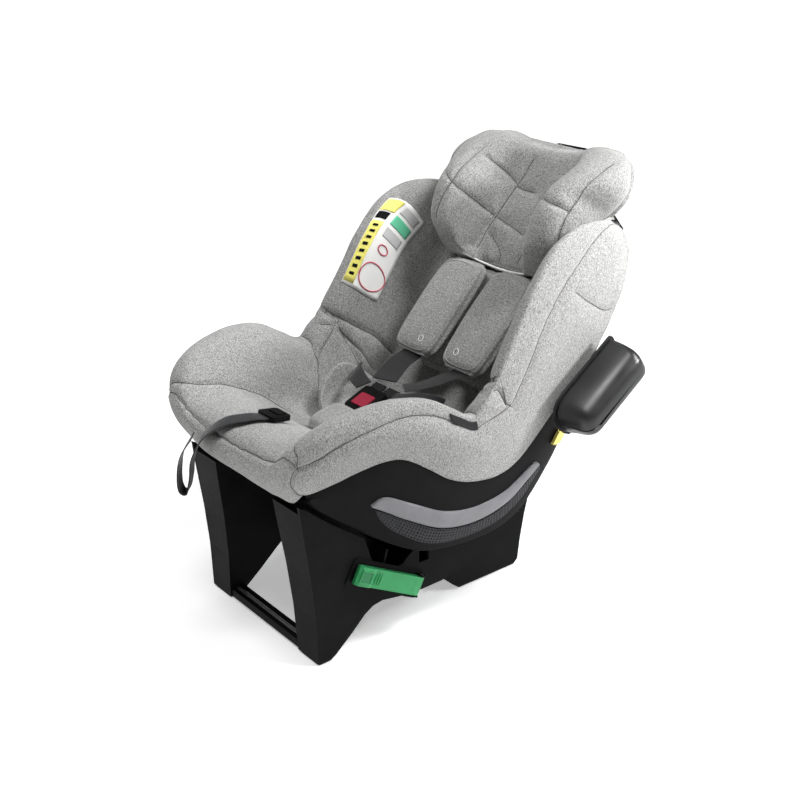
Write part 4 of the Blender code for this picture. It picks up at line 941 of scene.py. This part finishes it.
def make_crotch_pad():
    """The pad over the crotch strap, below the buckle."""
    sections = []
    for y, low, half, thick in ((110, 271.5, 20, 7), (116, 273.0, 27, 14), (133, 274.2, 32, 18),
                                (152, 278.0, 32, 18), (163, 282.2, 28, 15), (168, 283.8, 23, 8)):
        sections.append([(x, y, z) for x, z in crowned_loop(half, low, thick, 0.5, 0.8, 0.9)])
    stitched_pad("crotch_cushion", sections, 40, 64, 2.0, "crotch_pad", 0.4)


POD_CORNER = (347.5, 312.0)      # y and z of the pod's upper front corner
POD_SLOPE = math.radians(35.5)
POD_ALONG = np.array((0.0, math.cos(POD_SLOPE), math.sin(POD_SLOPE)))
POD_ACROSS = np.array((0.0, math.sin(POD_SLOPE), -math.cos(POD_SLOPE)))


def pod_section(low, high, radii, x, steps=8):
    """A rounded rectangle across the pod, at a distance from the mid-plane."""
    corners = np.array((low, (high[0], low[1]), high, (low[0], high[1])), float)
    points = []
    for i, here in enumerate(corners):
        start = here + unit(corners[i - 1] - here) * radii[i]
        end = here + unit(corners[(i + 1) % 4] - here) * radii[i]
        for t in np.linspace(0, 1, steps + 1):
            u, v = start * (1 - t) ** 2 + here * 2 * t * (1 - t) + end * t * t
            points.append(np.array((x, *POD_CORNER)) + POD_ALONG * u + POD_ACROSS * v)
    return points


def make_pod():
    """The side pod's smooth cover, from outlines at growing distances out, and its parting line."""
    rows = (((3, 3), (144, 66), (32, 7, 10, 28), 216.4), ((3.2, 3.1), (143.8, 63), (31, 8, 11, 27), 228.0),
            ((4, 3.5), (143, 58), (30, 9, 12, 26), 242.0), ((5, 5), (141.5, 52.5), (28, 11, 14, 22), 256.0),
            ((7, 8), (139, 48.5), (25, 12, 15, 19), 265.0), ((11, 12), (135, 45), (21, 12, 13, 16), 271.0),
            ((17, 17), (129, 41), (17, 10, 11, 12), 274.3), ((26, 22), (120, 37), (12, 7, 7, 7), 275.6))
    sections = [pod_section(*row) for row in rows]
    grid = catmull(sections, np.linspace(0, len(sections) - 1, 50))
    part(loft_object("pod_smooth_cover", grid, SATIN, 180.0), "side_pod", "black_plastic", "pod_cover")
    welt = [pod_section((1.5, 1.5), (145.5, 68.5), (33, 7, 10, 29), 216.2)]
    part(tube_mesh("pod_parting_line", welt, 0.9, RECESS, 6, True), "side_pod", "black_plastic")


CLIP_PIVOT = (145.535, 163.0, 76.0)
CLIP_TILT = math.radians(27.5)
CLIP_HOLLOW = ((88, -8.5), (107, -8.5), (107, 8.5), (88, 8.5))


def clip_point(side, x, y, z):
    """A point in a belt clip's own frame: along it, up across it, outward."""
    along = unit(np.array((-0.045 * math.cos(CLIP_TILT), -math.cos(CLIP_TILT), math.sin(CLIP_TILT))))
    up = np.array((0.0, math.sin(CLIP_TILT), math.cos(CLIP_TILT)))
    up = unit(up - along * up.dot(along))
    out = np.cross(up, along)
    out *= math.copysign(1.0, out[0])
    return (np.array(CLIP_PIVOT) + along * x + up * y + out * z) * (side, 1.0, 1.0)


def make_clip_details():
    """Grip ribs, a framed finger hollow and two dimples on each belt clip; the inside of the hollow and the
    dimples are painted shade, in a darker green.
    """
    for label, side in SIDES:
        body = label + "_clip"
        ribs = [[clip_point(side, x, y, 11.6) for y in (-9, -5, 0, 5, 9)] for x in (70, 74.5, 79)]
        part(tube_mesh(body + "_ribs", ribs, 1.2, GREEN, 8), body, "green_plastic")
        rim = [clip_point(side, x, y, 13.7) for x, y in CLIP_HOLLOW + CLIP_HOLLOW[:1]]
        part(tube_mesh(body + "_frame", [even(rim, 1.5)[:-1]], 1.3, GREEN, 8, True), body, "green_plastic")
        # The hollow is a thin flat plate in the darker green: painted shade, not a real recess.
        box = [clip_point(side, x, y, z) for z in (13.55, 13.75) for x, y in CLIP_HOLLOW]
        faces = [(0, 1, 2, 3), (4, 7, 6, 5)] + [(k, 4 + k, 4 + (k + 1) % 4, (k + 1) % 4) for k in range(4)]
        part(new_mesh(body + "_hollow_painted_shade", box, faces, SHADED_GREEN, 30.0), body, "green_plastic")
        # The dimples are short dots in the darker green: painted shade.
        dots = [[clip_point(side, 6.0, y, z) for z in (11.0, 11.8, 12.3)] for y in (-6.0, 6.0)]
        part(tube_mesh(body + "_dimples", dots, 1.7, SHADED_GREEN, 12), body, "green_plastic")


# Routes of the webbing, on the right side where there are two: SHOULDER_ROUTE is (x, along, out) down the
# back, and the others are (x, y, z). An ACROSS gives the way that the webbing's width lies.
SHOULDER_ROUTE = ((48, 116, -35.6), (48, 60, -35.6), (48, 20, -35.6), (49, 4, -32.5), (51, -9, -8.0),
                  (53, -26, -1.0), (55, -60, 6.0), (56, -120, 17.0), (56, -168, 27.0))
SHOULDER_END = ((48, 298, 321), (36, 270, 314), (22, 247, 311))
SHOULDER_END_ACROSS = ((0.97, -0.2, 0.1), (0.9, -0.35, 0.1), (0.85, -0.45, 0.1))
LAP_ROUTE = ((97, 256, 303), (90, 246, 309), (74, 232, 312), (52, 222, 310), (33, 217, 307))
LAP_ACROSS = ((0.1, 0.75, 0.6), (0.15, 0.75, 0.6), (0.2, 0.8, 0.5), (0.2, 0.9, 0.35), (0.1, 0.95, 0.3))
CROTCH_ROUTE = ((0, 119, 270.4), (0, 134, 271.2), (0, 150, 275.2), (0, 163, 280.2))
PULL_ROUTE = ((0, 31, 317.6), (-1, 22, 319.2), (-8, 6, 320.5), (-26, -22, 315), (-42, -46, 296),
              (-54, -58, 264), (-60, -60, 232), (-62, -66, 212), (-66, -74, 218), (-66, -74, 244),
              (-58, -72, 272), (-46, -62, 297))
PULL_ACROSS = ((1, 0, 0), (1, 0, 0), (0.97, -0.2, 0), (0.85, -0.5, 0), (0.75, -0.6, 0), (0.7, -0.7, 0),
               (0.7, -0.7, 0), (0.7, -0.7, 0), (0.7, -0.7, 0), (0.7, -0.7, 0), (0.72, -0.65, 0),
               (0.75, -0.6, 0))
WIDE_WEBBING = 38.0
NARROW_WEBBING = 25.0
WEBBING_THICKNESS = 1.7


def add_webbing(piece, route, width, across, side=1.0):
    """One webbing strap, named after the CAD node that it stands for."""
    flip = (side, 1.0, 1.0)
    strap = strap_mesh(piece + "_webbing", np.array(route, float) * flip, width, WEBBING_THICKNESS,
                       np.array(across) * flip, WEBBING)
    part(strap, "base", "webbing", piece + "_strap")


def make_straps():
    """The harness webbing and the pull strap."""
    shoulder = [lean(*p) for p in SHOULDER_ROUTE] + list(SHOULDER_END)
    across = [(1, 0, 0)] * len(SHOULDER_ROUTE) + list(SHOULDER_END_ACROSS)
    for label, side in SIDES:
        add_webbing(label + "_shoulder", shoulder, WIDE_WEBBING, across, side)
        add_webbing(label + "_lap", LAP_ROUTE, NARROW_WEBBING, LAP_ACROSS, side)
    add_webbing("crotch", CROTCH_ROUTE, WIDE_WEBBING, (1.0, 0.0, 0.0))
    add_webbing("pull", PULL_ROUTE, NARROW_WEBBING, PULL_ACROSS)


def pair(*names):
    """The right and left twins of each node."""
    return [label + "_" + name for name in names for label, _ in SIDES]


def paint_frame():
    """Materials and edge rounds for the CAD nodes that stay."""
    paint(BLACK, "back_top_trim", "front_crossbar", "base_pan", "rear_foot", "headrest_shell",
          "headrest_tongue", "handle_housing", "headrest_handle", "buckle_body", "adjuster_housing",
          "adjuster_button", *pair("side_panel", "clip_bracket", "pod_rail"))
    paint(SATIN, "pod_flange")
    paint(FOAM, "pod_core")
    paint(GREEN, *pair("belt_clip"))
    paint(YELLOW, *pair("belt_guide"))
    paint(RED, "buckle_button")
    paint(STEEL, "front_rod", "belt_path_bar", "handle_spring", "buckle_spring", "harness_yoke",
          *pair("clip_pin"))
    paint(DARK_STEEL, *pair("buckle_tongue"))
    paint(RUBBER, "rear_foot_pad", *pair("front_foot_pad"))
    paint(WEBBING, "adjuster_strap")
    soften(1.4, "rear_foot", *pair("side_panel"))
    soften(0.8, "pod_flange", "handle_housing", "headrest_handle", "front_crossbar", "buckle_body",
           "buckle_button", "adjuster_housing", "adjuster_button",
           *pair("belt_clip", "clip_bracket", "belt_guide"))


# ---- view


def aimed(name, data, place, ahead):
    """An object of the scene that looks along a direction."""
    made = bpy.data.objects.new(name, data)
    made.location = place
    made.rotation_mode = "QUATERNION"
    made.rotation_quaternion = Vector(ahead).to_track_quat("-Z", "Y")
    bpy.context.scene.collection.objects.link(made)
    return made


def add_camera():
    """A view from the front right, a little above, in metres."""
    azimuth, elevation, distance = math.radians(51.1), math.radians(22.1), 1.7157
    target = Vector((0.0295, -0.1153, 0.2983))
    back = Vector((math.sin(azimuth) * math.cos(elevation), -math.cos(azimuth) * math.cos(elevation),
                   math.sin(elevation)))
    data = bpy.data.cameras.new("camera")
    data.lens = 53.7
    data.sensor_width = 36.0
    bpy.context.scene.camera = aimed("camera", data, target + back * distance, -back)


def add_light(name, place, target, size, power, spread=180.0):
    """A round soft light; size in metres, power in watts, spread in degrees."""
    data = bpy.data.lights.new(name, "AREA")
    data.shape = "DISK"
    data.size = size
    data.energy = power
    data.spread = math.radians(spread)
    aimed(name, data, place, Vector(target) - Vector(place))


def add_world():
    """Dim soft light from above, and a white band at the horizon."""
    world = bpy.data.worlds.new("studio")
    world.use_nodes = True
    tree = world.node_tree
    direction = tree.nodes.new("ShaderNodeTexCoord")
    split = tree.nodes.new("ShaderNodeSeparateXYZ")
    band = tree.nodes.new("ShaderNodeMapRange")
    for name, value in (("From Min", 0.07), ("From Max", 0.16), ("To Min", 1.0), ("To Max", 0.08)):
        band.inputs[name].default_value = value
    tree.links.new(direction.outputs["Generated"], split.inputs["Vector"])
    tree.links.new(split.outputs["Z"], band.inputs["Value"])
    tree.links.new(band.outputs["Result"], tree.nodes["Background"].inputs["Strength"])
    tree.nodes["Background"].inputs["Color"].default_value = (1.0, 1.0, 1.0, 1.0)
    bpy.context.scene.world = world


def add_floor(half=60.0):
    """A plain pale floor that glows more away from the seat."""
    mesh = bpy.data.meshes.new("floor")
    corners = [(half * x, half * y, 0) for x, y in ((-1, -1), (1, -1), (1, 1), (-1, 1))]
    mesh.from_pydata(corners, [], [range(4)])
    floor = bpy.data.objects.new("floor", mesh)
    n = Nodes("pale_floor", 0.9, Specular_IOR_Level=0.1, Emission_Color=(1.0, 1.0, 1.0, 1.0))
    radius = n.add("ShaderNodeVectorMath", links={0: n.place}, operation="LENGTH").outputs["Value"]
    glow = n.ramp(n.math("MULTIPLY", radius, 0.1), (0.14, 0.42), (0.42, 0.98))
    n.tree.links.new(glow, n.shader.inputs["Emission Strength"])
    mesh.materials.append(n.finish(n.ramp(n.noise(3.0), (0.3, 0.90), (0.7, 0.92))))
    bpy.context.scene.collection.objects.link(floor)


def add_studio():
    """The background, the floor and three soft lights."""
    bpy.context.scene.view_settings.view_transform = "Standard"
    add_world()
    add_floor()
    add_light("key", (1.3, 1.0, 2.7), (0, -0.1, 0.35), 0.9, 84)
    add_light("overhead", (-0.1, -0.9, 3.0), (0, -0.1, 0.3), 1.1, 54)
    add_light("side", (0.95, 0.66, 0.98), (0.22, 0.17, 0.52), 0.30, 1.5, 42.0)


add_camera()
make_covers()
make_shell()
make_headrest()
make_insert()
make_shoulder_pads()
make_crotch_pad()
make_pod()
make_clip_details()
make_straps()
paint_frame()
add_studio()
